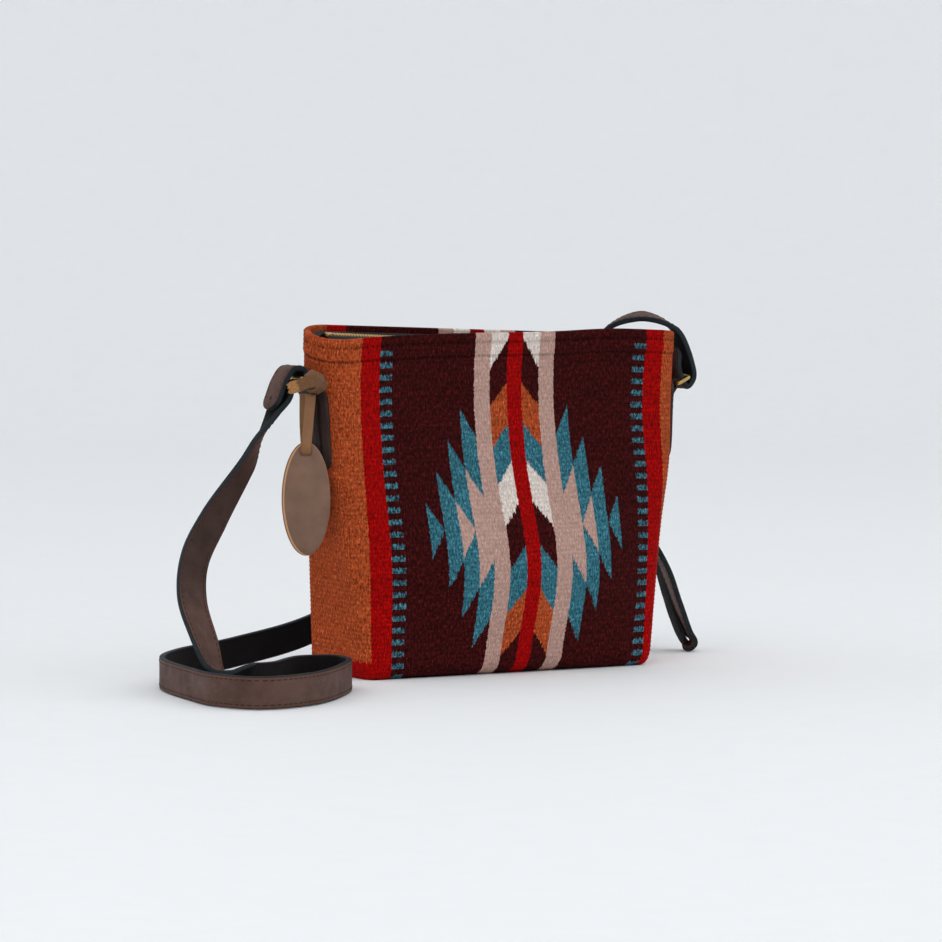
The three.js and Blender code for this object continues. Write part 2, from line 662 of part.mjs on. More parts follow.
const slotTop = TAG_HEIGHT / 2 - TAG_SLOT_DEPTH;

function hangTag() {
  const oval = new THREE.Shape();
  oval.absellipse(0, 0, TAG_WIDTH / 2, TAG_HEIGHT / 2, 0, 2 * Math.PI, false, 0);
  const slot = new THREE.Path();
  const slotHalf = THONG_WIDTH / 2 + LOOSE_GAP;
  const slotFoot = slotTop - TAG_SLOT_HEIGHT;
  slot.moveTo(-slotHalf, slotTop);
  slot.lineTo(slotHalf, slotTop);
  slot.lineTo(slotHalf, slotFoot);
  slot.lineTo(-slotHalf, slotFoot);
  slot.closePath();
  oval.holes.push(slot);
  const geometry = new THREE.ExtrudeGeometry(oval, { depth: TAG_THICK, bevelEnabled: false, curveSegments: 48 });
  return geometry.translate(0, 0, -TAG_THICK / 2);
}
const tag = addMesh(group, 'hang_tag', hangTag(), taupeLeather);
tag.applyMatrix4(new THREE.Matrix4().makeBasis(tagRight, new THREE.Vector3(0, 0, 1), tagFront).setPosition(tagMiddle));

// The thong runs from the knot down the tag's face, through its slot and up behind it to the knot, each place
// given as steps right, out of and up the tag
const slotMiddle = slotTop - TAG_SLOT_HEIGHT / 2;
const knotFoot = TAG_DROP - KNOT_HEIGHT / 2;
const strandStand = TAG_THICK / 2 + THONG_THICK / 2 + LOOSE_GAP;
const thongPoints = [
  [TAG_SHIFT / 2, TAG_SETBACK - THONG_THICK, knotFoot],
  [TAG_SHIFT / 4, strandStand, mix(slotMiddle, knotFoot, 0.5)],
  [0, strandStand, slotTop],
  [0, 0, slotMiddle - GAP],
  [0, -strandStand, slotTop],
  [-TAG_SHIFT / 8, -strandStand, mix(slotMiddle, knotFoot, 0.5)],
  [-TAG_SHIFT / 8, -strandStand, knotFoot],
].map(([right, out, up]) => tagMiddle.clone().addScaledVector(tagRight, right)
  .addScaledVector(tagFront, out).add(new THREE.Vector3(0, 0, up)));
const thongEdges = thongPoints.map(() => tagRight.clone());
addMesh(group, 'tag_thong', band(thongPoints, thongEdges, 24, THONG_WIDTH, THONG_THICK, THONG_THICK / 4), tanLeather);

export default group;
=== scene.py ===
"""Looks for a hand-woven crossbody bag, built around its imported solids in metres.

The wool pouch, its lining, the zip, the leather tabs, strap, thong and tag are surfaces worked out with
numpy, and their finishes are procedural.
"""

import math

import bpy
import numpy as np
from bpy.props import FloatProperty, FloatVectorProperty, PointerProperty
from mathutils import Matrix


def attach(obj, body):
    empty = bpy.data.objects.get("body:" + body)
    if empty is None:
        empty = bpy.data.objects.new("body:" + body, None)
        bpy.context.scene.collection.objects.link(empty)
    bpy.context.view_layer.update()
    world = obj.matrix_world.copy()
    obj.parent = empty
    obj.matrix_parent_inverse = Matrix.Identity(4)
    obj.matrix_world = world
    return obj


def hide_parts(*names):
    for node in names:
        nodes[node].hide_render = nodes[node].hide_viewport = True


bl_info = {
    "name": "Woven crossbody bag",
    "version": (1, 0, 0),
    "blender": (4, 5, 0),
    "location": "3D View > Sidebar > Bag",
    "description": "Builds the cloth, leather and metal of a hand-woven crossbody bag",
    "category": "Add Mesh",
}

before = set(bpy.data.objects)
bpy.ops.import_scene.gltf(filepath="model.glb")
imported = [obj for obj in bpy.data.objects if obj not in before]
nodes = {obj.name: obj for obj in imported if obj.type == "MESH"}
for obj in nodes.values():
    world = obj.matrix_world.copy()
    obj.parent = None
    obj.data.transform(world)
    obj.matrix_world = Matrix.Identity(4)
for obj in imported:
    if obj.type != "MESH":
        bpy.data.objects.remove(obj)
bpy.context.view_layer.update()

MM = 0.001
FULL_TURN = 2 * math.pi
UP = np.array([0.0, 0.0, 1.0])

# Pouch, in millimetres, close to the solids
HEIGHT = 213.0
BASE_WIDTH = 211.0
BASE_DEPTH = 76.0
BASE_CORNER = 7.0
MOUTH_WIDTH = 264.0
MOUTH_DEPTH = 43.0
BELLY = 21.4
BELLY_HEIGHT = 68.0
BELLY_REACH = 50.0
ROLL = 12.0
SIDE_ROLL = 0.5
SWAY = 5.0
TWIST = math.radians(3.6)
LEAN = 2.4
BACK_PINCH = 8.0
BACK_LIFT = 5.8
FRONT_DIP = 5.0
BACK_SAG = 3.3
RIM_SWELL = 1.7
RIM_SWELL_PLACE = 76.0
RIM_SWELL_REACH = 34.0
RIGHT_FULL = 3.3
RIGHT_FULL_HEIGHT = 130.0
RIGHT_FULL_REACH = 32.0
RIM_DRAW = 2.0
DRAW_START = 0.78
RING_HEIGHT = 181.0
WALL = 4.0
HEM_DEPTH = 14.0
HEM_SWELL = 0.6
HEM_RAMP = 1.2
RIM_ROUND = 1.6
SKIN_INSET = 0.3
FOOT_EASE = 3.0
LINING_INSET = 4.3
LINING_THICK = 1.0
LINING_DROP = 4.0
CORNER_SLACK = 0.3
WOOL_COLUMNS = 272
ROWS_TO_RIB = 4
RIM_STEPS = 9
INNER_ROWS = 24
BASE_RINGS = (0.25, 0.6, 0.9)
BASE_MAP = (-26.0, -14.0, -4.0)
LINING_COLUMNS = 128
LINING_ROWS = 40
LINING_FIRST_ROW = 1.5

# Cloth measures round the pouch, from the left seam across the front
CLOTH_ROUND = 544.0
CLOTH_CENTRE = 138.7
CLOTH_HALF = 272.0
UV_SCALE = 0.01

# Woven pattern: distances from the centre stripe, then heights
RED_EDGE = 5.0
CHEVRON_EDGE = 16.7
BEIGE_EDGE = 27.4
COLUMN_WIDTH = 9.75
COLUMN_COUNT = 4
DASH_EDGE = 82.6
STRIPE_EDGE = 90.8
SIDE_EDGE = 103.4
DIAMOND_MIDDLE = 92.0
DIAMOND_TIP = 73.5
COLUMN_DROP = 18.8
COLUMN_SLANT = 17.5
BEIGE_LAG = 37.0
DASH_PITCH = 7.45
DASH_START = 0.6
DASH_STOP = HEIGHT - 9.0
FOOT_BAND = 11.5
CHEVRON_SLOPE = 1.25
CHEVRON_LEVELS = (
    (32.8, "orange"), (59.8, "teal"), (87.3, "maroon"), (113.3, "cream"), (138.8, "teal"), (162.3, "orange"),
    (187.8, "maroon"),
)
TOP_SLOPE = 1.67
TOP_LEVEL = 218.3
GROOVE_DROPS = (5.8, 14.6)
GROOVE_STITCH = 3.4
GROOVE_SWAY = 2.0

# Lean and bow of the woven columns: zones run across from the centre stripe, and amounts are millimetres
RIM_LEAN = 2.4
RIM_LEAN_START = 160.0
RIGHT_ZONE = (20.0, 45.0, 66.0, 80.0)
RIGHT_LEAN = (55.0, 165.0, 2.8, -1.4)
BOW = 2.3
BOW_HEIGHT = 150.0
BOW_REACH = 54.0
BOW_ZONE = (60.0, 80.0, 110.0, 122.0)
YARN_SWAY = 1.5
YARN_RAGGED = 1.8
STROKE_FEATHER = 11.0
ROW_SWAY = 0.9

# Bump of a row, a stroke, a fine yarn and a groove, and how pale colours are told and evened out
YARN_RISE = (0.35, 0.9, 0.5, -1.6)
PALE_START = 0.1
PALE_EVEN = 0.5
PALE_LIGHT = 0.78

# Grains of the wool: how many to a millimetre round and up, seed, detail and roughness
STROKE_GRAIN = (1.1, 0.2, 0.0, 3.0, 0.7)
FINE_GRAIN = (1.15, 0.5, 2.0, 3.0, 0.8)
FLECK_GRAIN = (0.75, 0.36, 9.0, 3.0, 0.75)
SWAY_GRAIN = (0.15, 0.3, 5.0, 2.0, 0.6)
BROAD_GRAIN = (0.035, 0.06, 3.0, 3.0, 0.6)
SCUFF_GRAIN = (0.25, 0.05, 0.0, 4.0, 0.7)

# Ranges of a value, and what each is carried to
FLECK_SHARE = (0.46, 0.68, 0.0, 0.75)
DASH_RISE = (0.3, 0.7, 2.2, 4.4)
DASH_BREAK = (0.42, 0.53, 0.15, 1.0)
STROKE_LIGHT = (0.36, 0.64, 0.55, 1.4)
FINE_LIGHT = (0.36, 0.64, 0.48, 1.5)
# Painted light: the wool is made paler towards its foot, as if lit by light bounced from the floor
FOOT_PAINTED_BOUNCE = (0.0, 110.0, 1.24, 1.0)
BROAD_LIGHT = (0.3, 0.7, 0.88, 1.1)
# Painted shade: the wool is darkened in the valleys between the woven rows
ROW_PAINTED_SHADE = (0.0, 1.0, 0.72, 0.88)
GROOVE_SHARE = (0.3, 1.3, 1.0, 0.0)
# Painted shade in the two sewn grooves of the hem, stronger at each stitch
GROOVE_PAINTED_SHADE = (-1.0, 1.0, 0.22, 0.55)
WEAR_SHARE = (0.35, 0.7, 0.0, 1.0)
TAG_WEAR = (0.35, 0.68, 0.0, 1.0)
SCUFF_SHARE = (0.55, 0.75, 0.0, 0.4)
# Painted shade: the strap's outer face is darkened towards its inner colour along a stretch of the drop
DROP_PAINTED_SHADE = (45.0, 75.0, 0.55, 0.0)
STRAP_ROUGHNESS = (0.3, 0.7, 0.58, 0.72)
BRASS_ROUGHNESS = (0.35, 0.7, 0.22, 0.42)
TARNISH_SHARE = (0.5, 0.75, 0.0, 0.5)
BARE_SHARE = (0.66, 0.76, 0.0, 1.0)
PORE_SHARE = (0.4, 0.65, 0.0, 0.5)
PARED_WIDTH = (-0.8, 0.1, 1.7, 0.1)

# Zip, with its main sizes as in the solids
ZIP_LENGTH = 240.0
ZIP_SINK = 7.0
TAPE_SINK = 7.0
ZIP_TILT = math.radians(8)
ZIP_SLOPE = math.radians(3)
TAPE_THICK = 0.8
TAPE_SLACK = 0.5
TAPE_EDGE = 0.4
TAPE_EDGE_RATE = 20.0
TAPE_MAP = 12.0
TAPE_STATIONS = 160
TAPE_STEPS = 14
TOOTH_PITCH = 4.0
TOOTH_REACH = 2.7
TOOTH_HEIGHT = 2.4
TOOTH_HALF = 0.56
TOOTH_SIDES = 12
TOOTH_POWER = 0.45
TOOTH_RINGS = ((0.0, 0.55), (0.04, 0.8), (0.3, 0.95), (0.7, 1.0), (0.92, 1.0), (1.0, 0.8))
CHAIN_GAP = 1.1
CHAIN_EDGE = CHAIN_GAP / 2 + TOOTH_REACH
GAP = 0.3
WELD_REACH = 0.01
EDGE_BEVEL = 0.22

# Tabs, rings and strap, with their main sizes as in the solids
TAB_LENGTH = 78.0
TAB_WIDTH = 19.0
TAB_LEATHER = 1.6
TAB_CORNER = 0.5
TAB_SEAM = 2.2
TAB_SEAM_START = 4.0
TAB_STEPS = 24
TAB_EYE_STEPS = 20
RING_WIRE = 2.4
RING_REACH = 10.0
RING_CORNER = 3.0
RING_TILT = math.radians(34)
RING_PLAY = 0.35
RING_ROOM = 1.9
RING_SIDES = 14
RING_CORNER_STEPS = 8
STRAP_WIDTH = 19.0
STRAP_THICK = 3.3
STRAP_CORNER = 0.7
STRAP_SEAM = 2.3
STRAP_RIM = 1.0
HOLE_RADIUS = math.sqrt(1.5)
RING_HALF = STRAP_WIDTH / 2 + RING_ROOM + RING_WIRE / 2
EYE_BORE = RING_WIRE / 2 + RING_PLAY
EYE_OUTER = EYE_BORE + TAB_LEATHER
EYE_STAND = GAP + EYE_OUTER
TAB_FACE = GAP + 2 * TAB_LEATHER

# Patches under the tabs, and stitches: shares of the way out or along, with shares of the thickness
PATCH_WIDTH = 25.6
PATCH_HEIGHT = 50.0
PATCH_SHIFT = 3.3
PATCH_MIDDLE = 156.0
PATCH_THICK = 1.5
PATCH_SINK = 0.3
PATCH_SEAM = 2.4
PATCH_POWER = 0.32
PATCH_SIDES = 96
PATCH_RINGS = (
    (0.1, 1.0), (0.3, 1.0), (0.5, 1.0), (0.7, 1.0), (0.85, 1.0), (0.95, 0.97), (0.985, 0.75), (1.0, 0.3),
)
STITCH_RINGS = ((-1.0, 0.3), (-0.8, 0.75), (-0.4, 1.0), (0.4, 1.0), (0.8, 0.75), (1.0, 0.3))
STITCH_SIDES = 6
STITCH_SHARE = 0.72
STITCH_WIDTH = 0.75
STRAP_STITCH_RISE = 0.5
TAB_STITCH_RISE = 0.6

# Thong, knot and tag, with their main sizes as in the solids
KNOT_WIDTH = 15.0
KNOT_HEIGHT = 15.0
KNOT_DEPTH = 13.0
KNOT_BAND = 0.9
TIE_THICK = 1.2
TIE_HALF = RING_WIRE / 2 + RING_PLAY + TIE_THICK
KNOT_OFFSET = RING_HALF + TIE_HALF + KNOT_DEPTH / 2 - TIE_THICK / 2
CORE_UNEVEN = 0.03
CORE_SIDES = 48
CORE_ROWS = 26
BAND_SIDES = 72
THONG_WIDTH = 6.5
THONG_THICK = 2.0
THONG_CORNER = 0.6
THONG_STATIONS = 120
TAG_WIDTH = 30.0
TAG_HEIGHT = 70.0
TAG_THICK = 3.0
TAG_FACING = math.radians(32.5)
TAG_DROP = 72.0
TAG_SHIFT = 6.0
TAG_SETBACK = 5.0
TAG_SLOT_DEPTH = 4.5
TAG_SLOT_HEIGHT = 4.5
TAG_SIDES = 96
TAG_RINGS = (
    (0.0, 0.75), (0.03, 1.0), (0.25, 1.0), (0.5, 1.0), (0.75, 1.0), (0.88, 1.0), (0.9, 0.97), (0.985, 0.8),
    (1.0, 0.5),
)
SLOT_PLAY = GAP / 4
LOOSE_GAP = 0.7

# Bands of the knot: name, direction square to its plane, the plane's offset as a share, and width
KNOT_BANDS = (
    ("knot_rim_band", (0.8, -0.25, 0.55), -0.05, 6.5),
    ("knot_foot_band", (-0.35, 0.3, 1.0), -0.5, 3.6),
)

# Frayed end of the thong: steps right, out and up from the knot's middle, then its points
FRAYED_ROUTE = np.array([[3.0, 3.2, 1.4], [-3.8, 7.3, 0.2], [-9.5, 6.2, -2.0], [-14.6, 4.6, -3.4]])
FRAYED_HALF = 3.8
FRAYED_THICK = 1.6
FRAYED_STATIONS = 30
FRAYED_COLUMNS = 20
FRAYED_PITCH = 2.5
FRAYED_POINT = 5.6
FRAYED_UNEVEN = 0.7
FRAYED_WANDER = 1.3

# The strap's middle line, each point with the direction of one edge, near the solid's own
STRAP_ROUTE = np.array([
    [-157.4, 5.5, 166.5, -0.06, -1, 0],
    [-154.2, 5.5, 173, -0.06, -1, 0],
    [-149.2, 5.5, 184.5, -0.06, -1, 0],
    [-143.2, 5.5, 191.6, -0.06, -1, 0],
    [-136.3, 5.5, 190.8, -0.06, -1, 0],
    [-135.5, 5.5, 185.6, -0.06, -1, 0],
    [-139, 5.5, 180.7, -0.06, -1, 0],
    [-144.6, 5.5, 179.4, -0.02, -1, 0],
    [-148.4, 5.2, 173.4, 0.1, -0.99, 0],
    [-155, 4.6, 163.5, -0.22, -0.97, 0],
    [-163.6, 3, 151.5, -0.52, -0.85, 0],
    [-177.5, -5.5, 135.5, -0.78, -0.62, 0],
    [-210.5, -20, 102, -0.96, -0.28, 0],
    [-232.5, -35.5, 79, -0.97, -0.22, 0],
    [-243.5, -52, 57, -0.99, -0.1, 0],
    [-248, -75, 34, -0.96, -0.2, 0.05],
    [-249.5, -89, 18.5, -0.8, -0.55, 0.1],
    [-248, -96, 14.2, -0.64, -0.7, 0.25],
    [-244, -102, 12.8, -0.4, -0.73, 0.55],
    [-237, -104.5, 13.2, -0.09, -0.45, 0.89],
    [-228, -100, 12.5, 0, 0, 1],
    [-204, -80, 10.5, 0, 0, 1],
    [-165, -47, 10, 0, 0, 1],
    [-147, -53, 10, 0, 0, 1],
    [-148, -72, 10, 0, 0, 1],
    [-160, -93, 10, 0, 0, 1],
    [-219, -150, 10, 0, 0, 1],
    [-257, -157, 10, 0, 0, 1],
    [-269, -128, 10, 0, 0, 1],
    [-263, -85, 10, 0, 0, 1],
    [-242, -12, 10, 0, 0, 1],
    [-205, 35, 10, 0, 0, 1],
    [-142, 73, 12, 0, 0, 1],
    [-74, 95, 22, 0, -0.1, 0.99],
    [0, 112, 50, -0.2, -0.3, 0.93],
    [90, 108, 95, -0.4, -0.7, 0.6],
    [150, 85, 90, -0.5, -0.86, 0],
    [172.5, 64.5, 59.5, -0.4, -0.92, 0],
    [177.8, 58.8, 36.5, -0.4, -0.92, 0],
    [178, 51.3, 23.3, -0.4, -0.92, 0],
    [179, 44.8, 11.8, -0.4, -0.92, 0],
    [180.5, 41, 6.2, -0.4, -0.92, 0],
    [182, 38, 4.8, -0.4, -0.92, 0],
    [182.5, 36, 7.4, -0.4, -0.92, 0],
    [179, 36.5, 14, -0.4, -0.92, 0],
    [169, 34.5, 34.5, -0.4, -0.92, 0],
    [158, 35.5, 60.5, -0.4, -0.92, 0],
    [132, 42, 105, -0.5, -0.86, 0],
    [117, 50, 160, -0.54, -0.84, 0],
    [109, 32.5, 209.5, -0.54, -0.84, 0.07],
    [120.6, 7.5, 221.5, -0.52, -0.83, -0.18],
    [136.5, -6.5, 214, -0.42, -0.9, -0.05],
    [140.2, -10, 202.5, -0.1, -0.99, -0.05],
    [143.8, -10.5, 191, -0.06, -1, 0],
    [145, -10.5, 182, -0.06, -1, 0],
    [140.2, -10.5, 176.8, -0.06, -1, 0],
    [135.6, -10.3, 182.6, -0.06, -1, 0],
    [133.3, -10.2, 190.5, -0.06, -1, 0],
    [134, -10.2, 197.5, -0.06, -1, 0],
    [134.2, -10.2, 202.5, -0.06, -1, 0],
])
STRAP_STATIONS = 1400
TAIL_ROUND = 8.0
TAIL_TIP = 0.2
TAIL_POINTS = (1, len(STRAP_ROUTE) - 2)
# Middle of the stretch of the strap's run that gets painted shade
DROP_MIDDLE = 165.0

# Camera, fitted to the photograph's view, in metres and millimetres of lens
CAMERA_TURN = math.radians(32.5)
CAMERA_AWAY = 3.0
CAMERA_SIDE = -0.01133
CAMERA_RISE = 0.2689
CAMERA_AIM = 0.125
CAMERA_LENS = 181.77
CAMERA_SENSOR = 36.0
CAMERA_END = 50.0

# Floor and lamps, in metres
FLOOR_FLAT = (0.02, 0.3, 0.8, 1.6)
FLOOR_REACH = 3.0
FLOOR_BEND = 1.5
FLOOR_TOP = 4.0
FLOOR_STEPS = 24
FLOOR_SIDES = 96
SKY_TINT = (0.96, 0.98, 1.0, 1.0)
LAMPS = {"key": ((-1.5, -1.7, 2.2), 1.6), "fill": ((1.9, -1.2, 1.5), 1.4)}
LAMP_AIM = np.array([0.0, 0.0, 0.1])


def srgb(red, green, blue):
    """Linear colour from a display colour of 0 to 255: each channel is put through the display's curve."""
    share = np.array([red, green, blue]) / 255
    low = share / 12.92
    high = ((share + 0.055) / 1.055) ** 2.4
    return tuple(float(c) for c in np.where(share <= 0.04045, low, high))


def darker(tint, share):
    """A colour with each channel cut to a share."""
    return tuple(c * share for c in tint)


def colour(name, description, red, green, blue):
    """A colour property with a default given as a display colour."""
    return FloatVectorProperty(
        name=name, description=description, subtype="COLOR", size=3, min=0, max=1,
        default=srgb(red, green, blue),
    )


def amount(name, description, default, unit="NONE"):
    """A property for a number of zero or more."""
    return FloatProperty(name=name, description=description, default=default, min=0, unit=unit)


class BagClothSettings(bpy.types.PropertyGroup):
    """Colours and weave of the wool."""

    orange: colour("Orange", "Side panels and chevrons", 176, 72, 34)
    orange_fleck: colour("Orange fleck", "Light yarn in the orange", 206, 112, 66)
    red: colour("Red", "Centre and side stripes", 160, 4, 5)
    red_fleck: colour("Red fleck", "Light yarn in the red", 190, 14, 10)
    maroon: colour("Maroon", "Ground of the front and the back", 48, 10, 11)
    maroon_fleck: colour("Maroon fleck", "Red yarn in the maroon", 104, 28, 26)
    teal: colour("Teal", "Serrated diamonds and dashes", 48, 104, 120)
    teal_fleck: colour("Teal fleck", "Light yarn in the teal", 96, 164, 178)
    beige: colour("Beige", "Bands beside the centre stripe", 200, 162, 149)
    cream: colour("Cream", "Light chevrons", 240, 226, 216)
    rib_pitch: amount("Rib pitch", "Height of one woven rib", 0.0027, "LENGTH")
    rib_rise: amount("Rib rise", "Height of a rib above its valley", 0.00025, "LENGTH")


class BagLeatherSettings(bpy.types.PropertyGroup):
    """Colours and sewing of the leather."""

    strap_face: colour("Strap face", "Outer face of the strap", 96, 70, 62)
    scuff: colour("Scuff", "Rubbed patches on the strap's outer face", 122, 98, 88)
    rim: colour("Rim", "Outer face outside the stitches", 98, 64, 52)
    # The inner face's colour, also used for the painted shade on the drop and in the punched holes
    strap_back_and_shade: colour("Strap back", "Inner face of the strap", 17, 13, 13)
    tab: colour("Tab", "Side tabs and their patches", 60, 46, 42)
    edge_paint: colour("Edge paint", "Painted edges of the strap", 34, 40, 44)
    thread: colour("Thread", "Sewing thread on the strap", 66, 44, 38)
    thong: colour("Thong", "Tan thong", 146, 104, 72)
    knot: colour("Knot", "Knot of the thong", 120, 86, 60)
    frayed: colour("Frayed end", "Frayed end of the thong", 178, 128, 80)
    tag_face: colour("Tag face", "Face of the hang tag", 134, 103, 86)
    tag_edge: colour("Tag edge", "Pared edge of the hang tag", 196, 152, 112)
    tag_rim: colour("Tag rim", "Outermost line of the tag's edge", 142, 88, 60)
    stitch_pitch: amount("Stitch pitch", "Distance from one stitch to the next", 0.0042, "LENGTH")


class BagMetalSettings(bpy.types.PropertyGroup):
    """Colours of the metal and of the zip's cloth."""

    brass: colour("Brass", "Rings and zip metal", 196, 160, 98)
    tape: colour("Tape", "Cloth of the zip", 22, 21, 22)
    lining: colour("Lining", "Cotton inside the pouch", 34, 30, 30)


class BagStageSettings(bpy.types.PropertyGroup):
    """Floor and light."""

    floor: colour("Floor", "Floor and backdrop", 248, 249, 250)
    sky: amount("Sky", "Strength of the light from all round", 0.9)
    key: amount("Key", "Power of the main lamp", 13.0, "POWER")
    fill: amount("Fill", "Power of the second lamp", 4.0, "POWER")


# Shader expressions


def maths(operation):
    """A method that puts a value, and any others, through a Math node."""

    def method(self, *others):
        return self.finish.node("ShaderNodeMath", {"operation": operation}, [self, *others])

    return method


class Value:
    """One output socket in a material, so that maths on values is written as plain expressions."""

    __add__ = __radd__ = maths("ADD")
    __sub__ = maths("SUBTRACT")
    __mul__ = maths("MULTIPLY")
    __truediv__ = maths("DIVIDE")
    __mod__ = maths("FLOORED_MODULO")
    __gt__ = maths("GREATER_THAN")
    __lt__ = maths("LESS_THAN")
    __abs__ = maths("ABSOLUTE")
    floor = maths("FLOOR")
    cosine = maths("COSINE")

    def __init__(self, finish, socket):
        self.finish = finish
        self.socket = socket

    def __rsub__(self, other):
        return self.finish.node("ShaderNodeMath", {"operation": "SUBTRACT"}, [other, self])

    def between(self, low, high):
        """One where this value lies between two others, else zero."""
        return (self > low) * (self < high)

    def wave(self, pitch):
        """A cosine wave of this value that repeats at a pitch."""
        return (self * (FULL_TURN / pitch)).cosine()

    def output(self, number):
        """Another output of the node that this value comes from."""
        return Value(self.finish, self.socket.node.outputs[number])


class Finish:
    """One material: its nodes are added by expressions and end in a Principled shader."""

    def __init__(self, name):
        self.material = bpy.data.materials.new(name)
        self.material.use_nodes = True
        self.tree = self.material.node_tree
        self.shader = self.tree.nodes["Principled BSDF"]

    def node(self, kind, settings=None, sockets=(), output=0):
        """Adds a node, sets its settings, then its sockets by place or by name, and returns one output."""
        node = self.tree.nodes.new(kind)
        for name, value in (settings or {}).items():
            setattr(node, name, value)
        pairs = sockets.items() if isinstance(sockets, dict) else enumerate(sockets)
        for key, value in pairs:
            self.put(node.inputs[key], value)
        return Value(self, node.outputs[output])

    def put(self, socket, value):
        """Links a value to a socket, or sets the socket to a number, a colour or a vector."""
        if isinstance(value, Value):
            self.tree.links.new(value.socket, socket)
        elif socket.type == "RGBA":
            socket.default_value = (*value[:3], 1.0)
        else:
            socket.default_value = value

    def set(self, **sockets):
        """Sets or links sockets of the Principled shader, named with underscores for spaces, and returns the
        material."""
        for key, value in sockets.items():
            self.put(self.shader.inputs[key.replace("_", " ")], value)
        return self.material

    def mix(self, share, first, second, blend="MIX"):
        """A colour mixed from two others by a share."""
        settings = {"data_type": "RGBA", "blend_type": blend}
        return self.node("ShaderNodeMix", settings, {0: share, 6: first, 7: second}, 2)

    def uv(self):
        """The two values of the piece's own map, in millimetres."""
        place = self.node("ShaderNodeUVMap", {"uv_map": "cloth"})
        split = self.node("ShaderNodeSeparateXYZ", None, [place])
        return split * (1 / UV_SCALE), split.output(1) * (1 / UV_SCALE)

    def place(self):
        """Object coordinates in metres."""
        return self.node("ShaderNodeTexCoord", None, (), 3)

    def noise(self, place, scale, detail, roughness=0.5):
        """Soft noise of about 0 to 1 at a place."""
        sockets = {"Vector": place, "Scale": scale, "Detail": detail, "Roughness": roughness}
        return self.node("ShaderNodeTexNoise", None, sockets, 0)

    def grain(self, around, along, per_around, per_along, seed, detail, roughness):
        """Noise on the map, with so many grains to a millimetre each way."""
        place = self.node("ShaderNodeCombineXYZ", None, [around * per_around, along * per_along, seed])
        return self.noise(place, 1.0, detail, roughness)

    def remap(self, value, low, high, to_low, to_high):
        """A value carried from one range to another and held at the ends."""
        return self.node("ShaderNodeMapRange", None, [value, low, high, to_low, to_high])

    def zone(self, value, start, full, last, end):
        """A share that grows from start to full and falls from last to end."""
        return self.remap(value, start, full, 0.0, 1.0) * self.remap(value, last, end, 1.0, 0.0)

    def bump(self, height, strength, distance):
        """A normal tilted by a height."""
        sockets = {"Strength": strength, "Distance": distance, "Height": height}
        return self.node("ShaderNodeBump", None, sockets)


# Mesh helpers


def stacked(*values):
    """Values spread over one shape and stacked as coordinates."""
    return np.stack(np.broadcast_arrays(*values), -1)


def unit(vectors):
    """Vectors divided by their lengths."""
    return vectors / np.linalg.norm(vectors, axis=-1, keepdims=True)


def circle(steps):
    """Angles of a full turn in even steps, its end left out."""
    return np.arange(steps) * FULL_TURN / steps


def squared(values, power):
    """Sines or cosines raised to a power with their sign kept: a power below one squares their circle."""
    return np.sign(values) * np.abs(values) ** power


def facing(turn):
    """Level directions to the right and forward for a view turned from +Y towards +X."""
    right = np.array([math.cos(turn), -math.sin(turn), 0.0])
    return right, np.array([math.sin(turn), math.cos(turn), 0.0])


def rotation(first, second, angle):
    """Matrix that turns the first axis towards the second."""
    matrix = np.eye(3)
    matrix[first, first] = matrix[second, second] = math.cos(angle)
    matrix[second, first] = math.sin(angle)
    matrix[first, second] = -math.sin(angle)
    return matrix


def way_along(points):
    """Distance run along a line of points: the sum of its steps so far."""
    return np.concatenate([[0], np.cumsum(np.linalg.norm(np.diff(points, axis=0), axis=1))])


def loop_along(points):
    """Directions along a closed loop, each from the point before to the point after."""
    return unit(np.roll(points, -1, 0) - np.roll(points, 1, 0))


def cloth_map(columns, rise):
    """Map of a skin round the pouch: millimetres of cloth round it and a value for each row."""
    around = np.arange(columns + 1) / columns * CLOTH_ROUND
    return stacked(around[None], rise[:, None])


def grid(points, uv=None, ends="capped"):
    """Skin over a grid of points: each row joins the next and its own end. The first and last rows are
    capped by a fan to their middle, joined to each other or left open. Returns points, faces and a map
    place for each corner."""
    rows, columns = points.shape[:2]
    steps = rows if ends == "joined" else rows - 1
    i, j = np.meshgrid(np.arange(steps), np.arange(columns), indexing="ij")
    k, n = (j + 1) % columns, (i + 1) % rows
    quads = np.stack([i * columns + j, i * columns + k, n * columns + k, n * columns + j], -1)
    vertices = points.reshape(-1, 3)
    faces = [quads.reshape(-1, 4)]
    corners = []
    if uv is not None:
        corners.append(np.stack([uv[i, j], uv[i, j + 1], uv[i + 1, j + 1], uv[i + 1, j]], 2).reshape(-1, 2))
    caps = ((0, -1), (rows - 1, 1)) if ends == "capped" else ()
    for row, way in caps:
        hub = np.full(columns, len(vertices))
        vertices = np.vstack([vertices, points[row].mean(0)])
        near = row * columns + np.arange(columns)
        far = row * columns + (np.arange(columns) + 1) % columns
        faces.append(np.stack([hub, *(near, far)[::way]], -1))
        if uv is not None:
            a, b = uv[row, :-1], uv[row, 1:]
            corners.append(np.stack([(a + b) / 2, *(a, b)[::way]], 1).reshape(-1, 2))
    return vertices, faces, np.vstack(corners) if corners else None


def copied(faces, size, count):
    """Faces of one shape, which has so many points, repeated for each of its copies."""
    shift = (np.arange(count) * size)[:, None, None]
    return [(f[None] + shift).reshape(-1, f.shape[1]) for f in faces]


